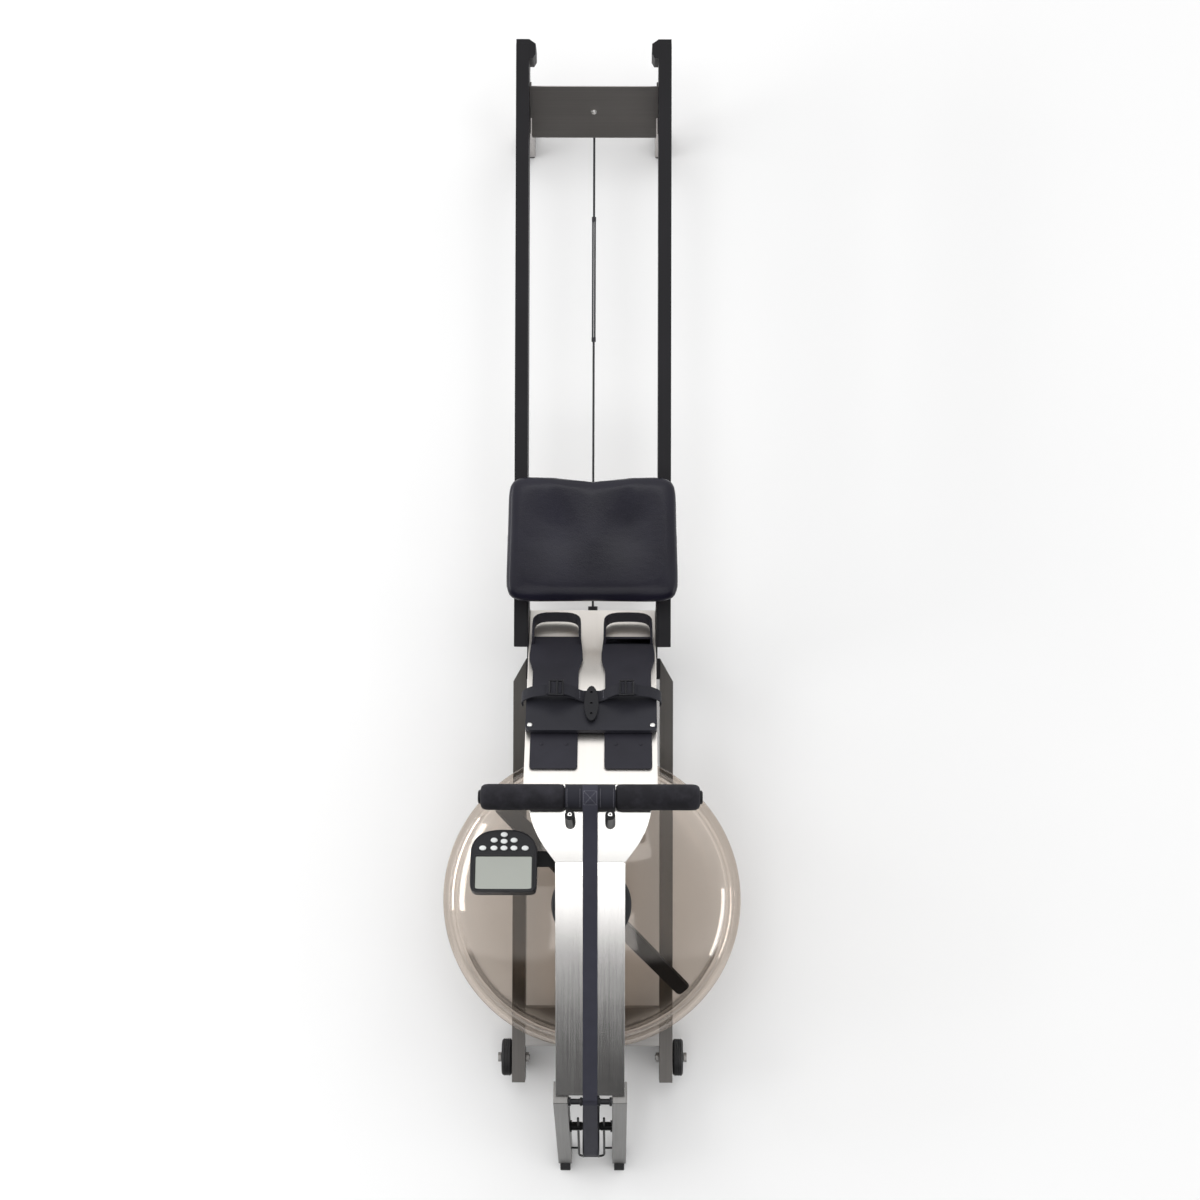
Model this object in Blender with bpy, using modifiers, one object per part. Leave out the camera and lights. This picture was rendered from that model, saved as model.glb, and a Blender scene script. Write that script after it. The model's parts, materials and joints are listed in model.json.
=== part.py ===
"""Water rower: a closed steel frame carries a round water tank, two rails, a sliding seat and a belt drive.

Metres, +Z up, standing on Z = 0. The rower sits at +Y and pulls the handle towards +Y; +X is the right
hand seen from above with +Y up. The frame is a bent strip of steel: two slanted legs at the front, a
spine over the tank, a deck, and a footboard that comes down between the rails.
"""

from math import asin, atan2, cos, hypot, pi, sin, tan

import bmesh
import bpy
from mathutils import Matrix, Vector

# ---- fits ----------------------------------------------------------------------------------------
GAP = 0.0003
RUN_FIT = 0.0004
SHEET = 0.003

# ---- rails and rear stand ------------------------------------------------------------------------
RAIL_INNER_X = 0.1200
RAIL_WIDTH = 0.024
RAIL_HEIGHT = 0.064
RAIL_TOP_Z = 0.262
RAIL_WALL = 0.0024
RAIL_FRONT_Y = -0.057
RAIL_REAR_Y = 1.0590
CAP_DEPTH = 0.0085
STOP_REACH = 0.0122
STOP_LENGTH = 0.027
REAR_LEG_Y = 0.930
REAR_LEG_DEPTH = 0.050
FOOT_HEIGHT = 0.012
REAR_PLATE_TOP = (0.985, 0.2380)
REAR_PLATE_BOTTOM = (0.905, 0.1720)
REAR_PLATE_FLANGE = 0.020
HOOK_HOLE_RADIUS = 0.0045
HOOK_WIRE = 0.0015

# ---- base ----------------------------------------------------------------------------------------
BEAM_OUTER_X = 0.1530
BEAM_WIDTH = 0.025
BEAM_HEIGHT = 0.050
BEAM_BOTTOM_Z = 0.032
BEAM_WALL = 0.002
BEAM_FRONT_Y = -0.886
BEAM_REAR_Y = -0.0776
BEAM_CHAMFER_LENGTH = 0.0444
REAR_TUBE_DEPTH = 0.040
FRONT_TUBE_REAR_Y = -0.744
FRONT_TUBE_DEPTH = 0.073
FRONT_TUBE_HEIGHT = 0.030
TIE_X = 0.053
TIE_THICK = 0.010
TIE_BOTTOM_Z = 0.036
TIE_HEIGHT = 0.034
WHEEL_Y = -0.844
WHEEL_Z = 0.0452
WHEEL_RADIUS = 0.0350
WHEEL_WIDTH = 0.019
WHEEL_BOLT_RADIUS = 0.005
WHEEL_SIDE_GAP = 0.0015
BOLT_HEAD = 0.006

# ---- footboard, deck, spine and front legs -------------------------------------------------------
BOARD_FOOT = (0.012, 0.200)
BOARD_HEAD = (-0.297, 0.480)
BOARD_FLANGE = 0.030
SIDE_PLATE_THICK = 0.0026
SIDE_PLATE_REACH = 0.090
FOLD_Y = -0.4305
FOLD_Z = 0.500
SPINE_FRONT = (-0.846, 0.420)
SPINE_HALF_WIDTH = 0.0605
SPINE_FLANGE = 0.040
SPINE_WALL = 0.0025
SPINE_FLANGE_END_Y = -0.815
TONGUE_SAG = 0.026
SUPPORT_HALF_WIDTH = 0.052
SUPPORT_DEPTH = 0.034
LEG_TOP = (-0.860, 0.420)
LEG_FOOT = (-1.052, 0.025)
LEG_OUTER_X = 0.0650
LEG_WIDTH = 0.0262
LEG_DEPTH = 0.040
LEG_WALL = 0.002
FOOT_REACH = 0.0155
FOOT_HALF_WIDTH = 0.0098

# ---- belt drive ----------------------------------------------------------------------------------
BELT_WIDTH = 0.0255
BELT_THICK = 0.0011
BELT_STEP = 0.0014
BELT_LAYER = 0.515
TOP_LAYER = 3
ROLLER_Y = -0.8575
ROLLER_RADIUS = 0.0065
PULLEY_Y = -0.938
PULLEY_Z = 0.230
PULLEY_RADIUS = 0.0525
PULLEY_FLANGE = 0.004
PULLEY_WIDTH = BELT_WIDTH + 0.0045
FLANGE_THICK = 0.002
AXLE_RADIUS = 0.005
COLLAR_RADIUS = 0.008
GUIDE_WIRE = 0.0021
GUIDE_HALF_WIDTH = PULLEY_WIDTH / 2 + 0.0087
DRUM_RADIUS = 0.030
DRUM_Z = 0.385
RISE_POWER = 1.5
DRUM_CLEAR = 0.0035
SHAFT_RADIUS = 0.008

# ---- tank ----------------------------------------------------------------------------------------
TANK_Y = -0.5255
TANK_RADIUS = 0.2760
TANK_WALL = 0.004
TANK_SKIN_RADIUS = 0.2640
TANK_BOTTOM_Z = 0.0823
TANK_RIM_Z = 0.2010
TANK_RIM_THICK = 0.005
TANK_TOP_Z = 0.2880
HUB_RADIUS = 0.073
HUB_TOP_Z = 0.350
PADDLE_Z = 0.165
PADDLE_REACH = 0.246
PADDLE_WIDTH = 0.044
PADDLE_THICK = 0.006
PADDLE_PITCH = 0.70

# ---- seat ----------------------------------------------------------------------------------------
SEAT_FRONT_Y = 0.021
SEAT_DEPTH = 0.231
SEAT_HALF_WIDTH = 0.157
SEAT_CORNER = 0.026
SEAT_NOTCH = 0.006
PAD_THICK = 0.034
BASE_THICK = 0.008
BASE_INSET = 0.006
SEAT_WHEEL_RADIUS = 0.0165
SEAT_WHEEL_WIDTH = 0.014
SEAT_WHEEL_BORE = 0.0043
SEAT_WHEEL_INSET = 0.033
BRACKET_CLEAR = 0.0092
BRACKET_FLANGE = 0.023
BRACKET_DROP = 0.050
AXLE_HEAD = 0.0065

# ---- handle and pegs -----------------------------------------------------------------------------
HANDLE_Y = -0.318
HANDLE_Z = 0.5085
HANDLE_LENGTH = 0.387
GRIP_RADIUS = 0.0225
GRIP_LENGTH = 0.148
BAR_RADIUS = 0.0125
WRAP_RADIUS = 0.0222
PEG_X = 0.0345
PEG_HEAD = (-0.3455, 0.546)
PEG_LEAN = 0.36
PEG_LENGTH = 0.062
PEG_RADIUS = 0.0088
SCREW_RADIUS = 0.0052

# ---- feet rests ----------------------------------------------------------------------------------
FOOT_X = 0.0655
FOOT_PLATE_WIDTH = 0.084
FOOT_PLATE_LOW = 0.196
FOOT_PLATE_HIGH = 0.385
FOOT_PLATE_THICK = 0.0035
HEEL_THICK = 0.0035
HEEL_LOW = 0.031
HEEL_PLATE_LOW = 0.0755
HEEL_HIGH = 0.262
HEEL_WALL = 0.004
HEEL_WALL_HEIGHT = 0.022
CROSSBAR_LOW = 0.215
CROSSBAR_HIGH = 0.308
CROSSBAR_THICK = 0.007
CROSSBAR_HALF_WIDTH = 0.1165
STRAP_WIDTH = 0.026
STRAP_THICK = 0.002
STRAP_LOW = 0.218
BUCKLE_X = 0.063
CLASP_LENGTH = 0.082
CLASP_WIDTH = 0.0255

# ---- monitor -------------------------------------------------------------------------------------
MONITOR_AT = (-0.149, -0.427, 0.503)
MONITOR_TILT = 0.35
MONITOR_HALF_WIDTH = 0.0578
MONITOR_HALF_LENGTH = 0.055
MONITOR_THICK = 0.032
ARCH_START = 0.012
LENS_SIZE = (0.097, 0.058)
LENS_CENTRE_Y = -0.0225
LENS_THICK = 0.0012
BUTTON_SIZE = (0.0120, 0.0086)
BUTTON_PROUD = 0.0014
BUTTON_DEPTH = 0.0030
BUTTON_PLACES = (
    (0.0, 0.0455), (0.0, 0.0335), (0.0, 0.0215),
    (-0.0172, 0.0355), (0.0172, 0.0355),
    (-0.0172, 0.0215), (0.0172, 0.0215),
    (-0.0366, 0.0215), (0.0366, 0.0215),
)

# ---- return cord ---------------------------------------------------------------------------------
CORD_RADIUS = 0.0021
STRAND_RADIUS = 0.0017
DOUBLE_REAR_Y = 0.752
DOUBLE_FRONT_Y = 0.521
FAIRLEAD = (0.011, 0.188)
FAIRLEAD_LENGTH = 0.016
FERRULE = 0.0080
SPOOL_Z = 0.3625

# ---- colours -------------------------------------------------------------------------------------
STEEL = ((0.55, 0.54, 0.52), 0.32, 1.0)
BRIGHT_STEEL = ((0.80, 0.79, 0.76), 0.18, 1.0)
BLACK_METAL = ((0.022, 0.021, 0.024), 0.45, 0.4)
BLACK_PLASTIC = ((0.020, 0.020, 0.024), 0.5, 0.0)
RUBBER = ((0.014, 0.014, 0.015), 0.85, 0.0)
VINYL = ((0.014, 0.013, 0.022), 0.42, 0.0)
WEBBING = ((0.045, 0.045, 0.062), 0.8, 0.0)
PLYWOOD = ((0.52, 0.42, 0.31), 0.6, 0.0)
TINTED = ((0.42, 0.33, 0.27), 0.08, 0.0)
LCD_GLASS = ((0.42, 0.45, 0.38), 0.15, 0.0)
KEY_WHITE = ((0.78, 0.79, 0.78), 0.5, 0.0)

SIDES = (-1, 1)

# Sizes that follow from the ones above.
RAIL_OUTER_X = RAIL_INNER_X + RAIL_WIDTH
RAIL_BOTTOM_Z = RAIL_TOP_Z - RAIL_HEIGHT
BEAM_INNER_X = BEAM_OUTER_X - BEAM_WIDTH
BEAM_TOP_Z = BEAM_BOTTOM_Z + BEAM_HEIGHT
BOARD_PITCH = atan2(BOARD_HEAD[1] - BOARD_FOOT[1], BOARD_FOOT[0] - BOARD_HEAD[0])
BOARD_LENGTH = hypot(BOARD_HEAD[1] - BOARD_FOOT[1], BOARD_FOOT[0] - BOARD_HEAD[0])
SIDE_PLATE_X = RAIL_INNER_X - GAP - SIDE_PLATE_THICK / 2
BOARD_HALF_WIDTH = SIDE_PLATE_X - SIDE_PLATE_THICK / 2 - GAP
SPINE_PITCH = atan2(FOLD_Z - SPINE_FRONT[1], FOLD_Y - SPINE_FRONT[0])
SPINE_LENGTH = hypot(FOLD_Z - SPINE_FRONT[1], FOLD_Y - SPINE_FRONT[0])
LEG_PITCH = atan2(LEG_TOP[0] - LEG_FOOT[0], LEG_TOP[1] - LEG_FOOT[1])
LEG_LENGTH = hypot(LEG_TOP[0] - LEG_FOOT[0], LEG_TOP[1] - LEG_FOOT[1])
LEG_X = LEG_OUTER_X - LEG_WIDTH / 2
LEG_INNER_X = LEG_OUTER_X - LEG_WIDTH
SEAT_WHEEL_Z = RAIL_TOP_Z + GAP + SEAT_WHEEL_RADIUS
SEAT_WHEEL_X = RAIL_INNER_X + RAIL_WIDTH / 2
BASE_BOTTOM_Z = SEAT_WHEEL_Z + SEAT_WHEEL_RADIUS + 0.003
BRACKET_X = RAIL_INNER_X - BRACKET_CLEAR
PAD_BOTTOM_Z = BASE_BOTTOM_Z + BASE_THICK + GAP


# ---- scene and materials -------------------------------------------------------------------------
for old in list(bpy.data.objects):
    bpy.data.objects.remove(old)

PARTS = bpy.data.collections.new("water_rower")
CUTTERS = bpy.data.collections.new("cutters")
bpy.context.scene.collection.children.link(PARTS)
bpy.context.scene.collection.children.link(CUTTERS)
CUTTERS.hide_render = True


def finish_of(name, finish):
    """A Principled material named for its part, with its own colour, roughness and metallic value."""
    colour, roughness, metallic = finish
    material = bpy.data.materials.new(name)
    material.use_nodes = True
    shader = material.node_tree.nodes["Principled BSDF"]
    shader.inputs["Base Color"].default_value = (*colour, 1.0)
    shader.inputs["Roughness"].default_value = roughness
    shader.inputs["Metallic"].default_value = metallic
    return material


def add(name, data, finish, at=(0, 0, 0), turn=(0, 0, 0), parent=None):
    """Puts mesh or curve data in the parts collection as one named object."""
    part = bpy.data.objects.new(name, data)
    part.location = at
    part.rotation_euler = turn
    part.parent = parent
    data.materials.append(finish_of(name, finish))
    PARTS.objects.link(part)
    return part


def as_cutter(part):
    """Takes an object out of the parts: it only cuts others."""
    PARTS.objects.unlink(part)
    CUTTERS.objects.link(part)
    part.hide_render = True
    part.display_type = "WIRE"
    return part


def cut(part, cutter, operation="DIFFERENCE"):
    modifier = part.modifiers.new(cutter.name, "BOOLEAN")
    modifier.operation = operation
    modifier.solver = "EXACT"
    modifier.object = cutter


def baked(part):
    """Makes an object's evaluated shape its own mesh, in place, with its caps welded."""
    bpy.context.view_layer.update()
    graph = bpy.context.evaluated_depsgraph_get()
    mesh = bpy.data.meshes.new_from_object(part.evaluated_get(graph))
    body = bmesh.new()
    body.from_mesh(mesh)
    bmesh.ops.remove_doubles(body, verts=body.verts, dist=1e-6)
    body.to_mesh(mesh)
    body.free()
    name = part.name
    solid = bpy.data.objects.new(name + "_solid", mesh)
    solid.matrix_world = part.matrix_world
    PARTS.objects.link(solid)
    bpy.data.objects.remove(part)
    solid.name = name
    return solid


def welded(name, pieces):
    """One solid from several that run into each other: the first one, with the others united to it."""
    whole = baked(pieces[0])
    whole.name = name
    for i, piece in enumerate(pieces[1:]):
        tool = baked(piece)
        tool.name = "%s_piece_%d" % (name, i)
        cut(whole, as_cutter(tool), "UNION")
    return whole


def cutter_group(name, pieces, finish):
    """One cutter from several that lie apart."""
    body = bmesh.new()
    for piece in pieces:
        solid = baked(piece)
        mesh = solid.data
        mesh.transform(solid.matrix_world)
        body.from_mesh(mesh)
        bpy.data.objects.remove(solid)
    mesh = bpy.data.meshes.new(name)
    body.to_mesh(mesh)
    body.free()
    mesh.materials.clear()
    return add(name, mesh, finish)


# ---- shapes --------------------------------------------------------------------------------------
def rounded(corners, radius, steps=4):
    """A closed outline with each corner replaced by an arc of the given radius, or one limited by its sides."""
    outline = []
    count = len(corners)
    for i, corner in enumerate(corners):
        here = Vector(corner)
        back = Vector(corners[i - 1]) - here
        ahead = Vector(corners[(i + 1) % count]) - here
        half = back.angle(ahead) / 2
        reach = min(radius / tan(half), 0.49 * back.length, 0.49 * ahead.length)
        arc = reach * tan(half)
        start = here + back.normalized() * reach
        end = here + ahead.normalized() * reach
        centre = here + (back.normalized() + ahead.normalized()).normalized() * arc / sin(half)
        for k in range(steps + 1):
            blend = start.lerp(end, k / steps) - centre
            outline.append(tuple(centre + blend.normalized() * arc))
    return outline


def rectangle(width, height, x=0.0, y=0.0):
    w, h = width / 2, height / 2
    return [(x - w, y - h), (x + w, y - h), (x + w, y + h), (x - w, y + h)]


def oval(width, height, x=0.0, y=0.0, steps=12):
    turns = [2 * pi * k / steps for k in range(steps)]
    return [(x + width / 2 * cos(a), y + height / 2 * sin(a)) for a in turns]


def channel(half_width, depth, wall):
    """A U section, open downwards, with its outer face on the line y = 0."""
    w, d, t = half_width, depth, wall
    return [(-w, 0), (w, 0), (w, -d), (w - t, -d), (w - t, -t), (t - w, -t), (t - w, -d), (-w, -d)]


def extruded(name, outlines, length, finish, at=(0, 0, 0), turn=(0, 0, 0), parent=None):
    """A flat outline, with any holes as further outlines, carried along local Z by half its length each way."""
    curve = bpy.data.curves.new(name, "CURVE")
    curve.dimensions = "2D"
    curve.fill_mode = "BOTH"
    curve.extrude = length / 2
    for outline in outlines:
        spline = curve.splines.new("POLY")
        spline.points.add(len(outline) - 1)
        for point, (x, y) in zip(spline.points, outline):
            point.co = (x, y, 0, 1)
        spline.use_cyclic_u = True
    return add(name, curve, finish, at, turn, parent)


ACROSS_X = (pi / 2, 0, pi / 2)
ALONG_Y = (pi / 2, 0, 0)


def profile_x(name, outlines, x, thick, finish):
    """An outline drawn in (y, z), with its thickness along X."""
    return extruded(name, outlines, thick, finish, (x, 0, 0), ACROSS_X)


def profile_y(name, outlines, y_from, y_to, finish):
    """An outline drawn in (x, z), carried along Y."""
    return extruded(name, outlines, y_to - y_from, finish, (0, (y_from + y_to) / 2, 0), ALONG_Y)


def profile_z(name, outlines, z_from, z_to, finish, parent=None):
    """An outline drawn in (x, y), carried up Z."""
    return extruded(name, outlines, z_to - z_from, finish, (0, 0, (z_from + z_to) / 2), parent=parent)


def turned(name, profile, finish, at=(0, 0, 0), turn=(0, 0, 0), steps=32, ring=False, parent=None):
    """A profile of (radius, height) points, run top to bottom on its outer side, turned about local Z."""
    mesh = bpy.data.meshes.new(name)
    count = len(profile)
    edges = [(i, i + 1) for i in range(count - 1)]
    if ring:
        edges.append((count - 1, 0))
    mesh.from_pydata([(r, 0, z) for r, z in profile], edges, [])
    part = add(name, mesh, finish, at, turn, parent)
    screw = part.modifiers.new("turn", "SCREW")
    screw.angle = 2 * pi
    screw.steps = steps
    screw.render_steps = steps
    screw.use_merge_vertices = True
    screw.merge_threshold = 0.00001
    return part


def rod(name, radius, z_from, z_to, finish, at=(0, 0, 0), turn=(0, 0, 0), steps=16, parent=None):
    profile = [(0, z_to), (radius, z_to), (radius, z_from), (0, z_from)]
    return turned(name, profile, finish, at, turn, steps, parent=parent)


def sleeve(name, outer, inner, z_from, z_to, finish, at=(0, 0, 0), turn=(0, 0, 0), steps=32, parent=None):
    profile = [(outer, z_to), (outer, z_from), (inner, z_from), (inner, z_to)]
    return turned(name, profile, finish, at, turn, steps, ring=True, parent=parent)


TO_X = (0, pi / 2, 0)


def wire(name, routes, radius, finish, resolution=1):
    """Round wire along each route, a list of points, as a straight-sided spline."""
    curve = bpy.data.curves.new(name, "CURVE")
    curve.dimensions = "3D"
    curve.bevel_depth = radius
    curve.bevel_resolution = resolution
    curve.use_fill_caps = True
    for route in routes:
        spline = curve.splines.new("POLY")
        spline.points.add(len(route) - 1)
        for point, place in zip(spline.points, route):
            point.co = (*place, 1)
    return add(name, curve, finish)


def band(name, route, across, width, thick, finish, parent=None):
    """A flat strap: a rectangle lofted along a route, turned so that its width follows `across` at each point."""
    body = bmesh.new()
    rings = []
    count = len(route)
    for i, (place, side) in enumerate(zip(route, across)):
        here = Vector(place)
        along = (Vector(route[min(i + 1, count - 1)]) - Vector(route[max(i - 1, 0)])).normalized()
        side = Vector(side)
        side = (side - along * side.dot(along)).normalized()
        up = side.cross(along)
        corners = [(-1, -1), (1, -1), (1, 1), (-1, 1)]
        ring = [body.verts.new(here + side * a * width / 2 + up * b * thick / 2) for a, b in corners]
        rings.append(ring)
    for first, second in zip(rings, rings[1:]):
        for k in range(4):
            body.faces.new((first[k], first[(k + 1) % 4], second[(k + 1) % 4], second[k]))
    body.faces.new(rings[0])
    body.faces.new(list(reversed(rings[-1])))
    bmesh.ops.triangulate(body, faces=body.faces)
    bmesh.ops.recalc_face_normals(body, faces=body.faces)
    mesh = bpy.data.meshes.new(name)
    body.to_mesh(mesh)
    body.free()
    return add(name, mesh, finish, parent=parent)


def hexagon(across_flats, x=0.0, y=0.0):
    reach = across_flats / 2 / cos(pi / 6)
    return [(x + reach * cos(k * pi / 3), y + reach * sin(k * pi / 3)) for k in range(6)]


def arc_points(centre, radius, start, end, steps):
    """Points (y, z) on an arc, with angles from +Y towards +Z."""
    turns = [start + (end - start) * k / steps for k in range(steps + 1)]
    return [(centre[0] + radius * cos(a), centre[1] + radius * sin(a)) for a in turns]


# ---- rails, end caps and rear stand --------------------------------------------------------------
def make_rails():
    """Two black box-section rails, each closed behind by a cap with the seat's stop lug on its inner side."""
    for side, name in zip(SIDES, ("rail_left", "rail_right")):
        x = side * (RAIL_INNER_X + RAIL_WIDTH / 2)
        z = RAIL_TOP_Z - RAIL_HEIGHT / 2
        outer = rectangle(RAIL_WIDTH, RAIL_HEIGHT, x, z)
        inner = rectangle(RAIL_WIDTH - 2 * RAIL_WALL, RAIL_HEIGHT - 2 * RAIL_WALL, x, z)
        rail = profile_y(name, [outer, inner], RAIL_FRONT_Y, RAIL_REAR_Y, BLACK_METAL)
        root = RAIL_INNER_X + RAIL_WALL / 2
        cap = [
            (RAIL_OUTER_X - GAP, RAIL_REAR_Y - RAIL_WALL), (RAIL_OUTER_X - GAP, RAIL_REAR_Y + CAP_DEPTH),
            (RAIL_INNER_X, RAIL_REAR_Y + CAP_DEPTH), (RAIL_INNER_X - STOP_REACH, RAIL_REAR_Y),
            (RAIL_INNER_X - STOP_REACH, RAIL_REAR_Y - STOP_LENGTH * 0.7),
            (RAIL_INNER_X - STOP_REACH * 0.6, RAIL_REAR_Y - STOP_LENGTH),
            (root, RAIL_REAR_Y - STOP_LENGTH), (root, RAIL_REAR_Y - RAIL_WALL),
        ]
        outline = [(side * px, y) for px, y in cap]
        end = profile_z(name + "_cap", [outline], RAIL_BOTTOM_Z + GAP, RAIL_TOP_Z - GAP, BLACK_PLASTIC)
        welded(name, [rail, end])


def make_rear_stand():
    """Upright legs under the rails with rubber feet, welded to a slanted plate that holds the cord's hook."""
    rise = REAR_PLATE_TOP[1] - REAR_PLATE_BOTTOM[1]
    run = REAR_PLATE_TOP[0] - REAR_PLATE_BOTTOM[0]
    pitch = atan2(rise, run)
    middle = [(a + b) / 2 for a, b in zip(REAR_PLATE_TOP, REAR_PLATE_BOTTOM)]
    section = channel(RAIL_INNER_X - GAP, REAR_PLATE_FLANGE, SHEET)
    turn = (pi / 2 + pitch, 0, 0)
    pieces = [extruded("rear_stand", [section], hypot(rise, run), STEEL, (0, *middle), turn)]
    inner_x = RAIL_INNER_X - SHEET
    wide = RAIL_OUTER_X - GAP - inner_x
    for side in SIDES:
        x = side * (inner_x + wide / 2)
        outer = rectangle(wide, REAR_LEG_DEPTH, x, REAR_LEG_Y)
        inner = rectangle(wide - 2 * LEG_WALL, REAR_LEG_DEPTH - 2 * LEG_WALL, x, REAR_LEG_Y)
        pieces.append(profile_z("leg", [outer, inner], FOOT_HEIGHT - GAP, RAIL_BOTTOM_Z - GAP, STEEL))
        pad = rounded(rectangle(wide - 2 * GAP, REAR_LEG_DEPTH - 2 * GAP, x, REAR_LEG_Y), 0.004, 2)
        pieces.append(profile_z("foot", [pad], 0, FOOT_HEIGHT, RUBBER))
    stand = welded("rear_stand", pieces)
    drill = rod("hook_drill", HOOK_HOLE_RADIUS, -0.02, 0.02, STEEL, (0, *middle), (pitch, 0, 0))
    cut(stand, as_cutter(drill))
    return middle, pitch


# ---- base ring -----------------------------------------------------------------------------------
def make_beams():
    """Two steel box beams beside the tank, each with a chamfered rear end and a cross bore for its wheel bolt."""
    for side, name in zip(SIDES, ("side_beam_left", "side_beam_right")):
        x = side * (BEAM_OUTER_X - BEAM_WIDTH / 2)
        shoulder_y = BEAM_REAR_Y - BEAM_CHAMFER_LENGTH
        outline = [(BEAM_INNER_X, BEAM_FRONT_Y), (BEAM_OUTER_X, BEAM_FRONT_Y), (BEAM_OUTER_X, shoulder_y),
                   (BEAM_INNER_X, BEAM_REAR_Y)]
        outline = [(side * px, y) for px, y in outline]
        beam = baked(profile_z(name, [outline], BEAM_BOTTOM_Z, BEAM_TOP_Z, STEEL))
        core = rectangle(BEAM_WIDTH - 2 * BEAM_WALL, BEAM_HEIGHT - 2 * BEAM_WALL, x, BEAM_TOP_Z - BEAM_HEIGHT / 2)
        hollow = profile_y(name + "_core", [core], BEAM_FRONT_Y + BEAM_WALL, shoulder_y - BEAM_WALL, STEEL)
        cut(beam, as_cutter(baked(hollow)))
        bore = WHEEL_BOLT_RADIUS + RUN_FIT
        drill = rod(name + "_drill", bore, -BEAM_WIDTH, BEAM_WIDTH, STEEL, (x, WHEEL_Y, WHEEL_Z), TO_X)
        cut(beam, as_cutter(drill))


def leg_face_y(z):
    """The front face of the front legs at a height."""
    return LEG_TOP[0] - (LEG_TOP[1] - z) * tan(LEG_PITCH)


def box_tube(name, depth, height, y, z, wall, span, finish):
    """A rectangular tube across the machine, open at its ends."""
    outer = rectangle(depth, height, y, z)
    inner = rectangle(depth - 2 * wall, height - 2 * wall, y, z)
    return profile_x(name, [outer, inner], 0, span, finish)


def make_base_members():
    """The wide tube across the front of the base, with the flat ties that run from it to the front legs."""
    span = 2 * (BEAM_INNER_X - GAP)
    front_y = FRONT_TUBE_REAR_Y - FRONT_TUBE_DEPTH / 2
    front_z = TANK_BOTTOM_Z - GAP - FRONT_TUBE_HEIGHT / 2
    pieces = [box_tube("tube", FRONT_TUBE_DEPTH, FRONT_TUBE_HEIGHT, front_y, front_z, BEAM_WALL, span, STEEL)]
    depth = LEG_DEPTH / cos(LEG_PITCH) + 2 * GAP
    low, high = TIE_BOTTOM_Z, TIE_BOTTOM_Z + TIE_HEIGHT
    end_y = FRONT_TUBE_REAR_Y - FRONT_TUBE_DEPTH + BEAM_WALL / 2
    outline = [(leg_face_y(low) + depth, low), (end_y, low), (end_y, high), (leg_face_y(high) + depth, high)]
    for side in SIDES:
        pieces.append(profile_x("tie", [outline], side * TIE_X, TIE_THICK, STEEL))
    welded("front_tie_frame", pieces)


def make_rail_carrier():
    """The rear tube across the base with two thin upright plates that the rails' front ends are bolted to."""
    span = 2 * (BEAM_INNER_X - GAP)
    rear_y = BEAM_REAR_Y - REAR_TUBE_DEPTH / 2
    rear_z = BEAM_TOP_Z - BEAM_HEIGHT / 2
    pieces = [box_tube("tube", REAR_TUBE_DEPTH, BEAM_HEIGHT, rear_y, rear_z, BEAM_WALL, span, BLACK_METAL)]
    low = BEAM_TOP_Z - BEAM_WALL / 2
    corners = [
        (SIDE_PLATE_REACH, RAIL_TOP_Z - 0.006), (SIDE_PLATE_REACH, RAIL_BOTTOM_Z + 0.006),
        (0.020, RAIL_BOTTOM_Z - 0.004), (BEAM_REAR_Y - 0.002, low), (BEAM_REAR_Y - REAR_TUBE_DEPTH - 0.018, low),
        (RAIL_FRONT_Y - 0.021, RAIL_TOP_Z),
    ]
    outline = rounded(corners, 0.008, 3)
    for side in SIDES:
        pieces.append(profile_x("plate", [outline], side * SIDE_PLATE_X, SIDE_PLATE_THICK, BLACK_METAL))
    welded("rail_carrier", pieces)


# ---- footboard, deck and spine -------------------------------------------------------------------
def make_footboard():
    """A steel channel, open underneath, that slopes up from between the rails to the deck."""
    middle = [(a + b) / 2 for a, b in zip(BOARD_FOOT, BOARD_HEAD)]
    section = channel(BOARD_HALF_WIDTH, BOARD_FLANGE, SHEET)
    extruded("footboard", [section], BOARD_LENGTH, BRIGHT_STEEL, (0, *middle), (pi / 2 - BOARD_PITCH, 0, 0))


def deck_outline():
    """Half the deck, from the footboard's edge in a convex taper to the spine's width, then a round tongue."""
    rear_y = BOARD_HEAD[0] - GAP * 2
    shoulder_y = rear_y - 0.034
    half = [(BOARD_HALF_WIDTH, rear_y), (BOARD_HALF_WIDTH - 0.0015, rear_y - 0.012)]
    start = (0.107, shoulder_y)
    steps = 8
    for k in range(steps + 1):
        t = k / steps
        x = start[0] + (SPINE_HALF_WIDTH - start[0]) * t + 0.010 * sin(pi * t)
        half.append((x, shoulder_y + (FOLD_Y - shoulder_y) * t))
    for k in range(1, steps + 1):
        x = SPINE_HALF_WIDTH * (1 - k / steps)
        half.append((x, FOLD_Y - TONGUE_SAG * (1 - (x / SPINE_HALF_WIDTH) ** 2)))
    return half


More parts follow.
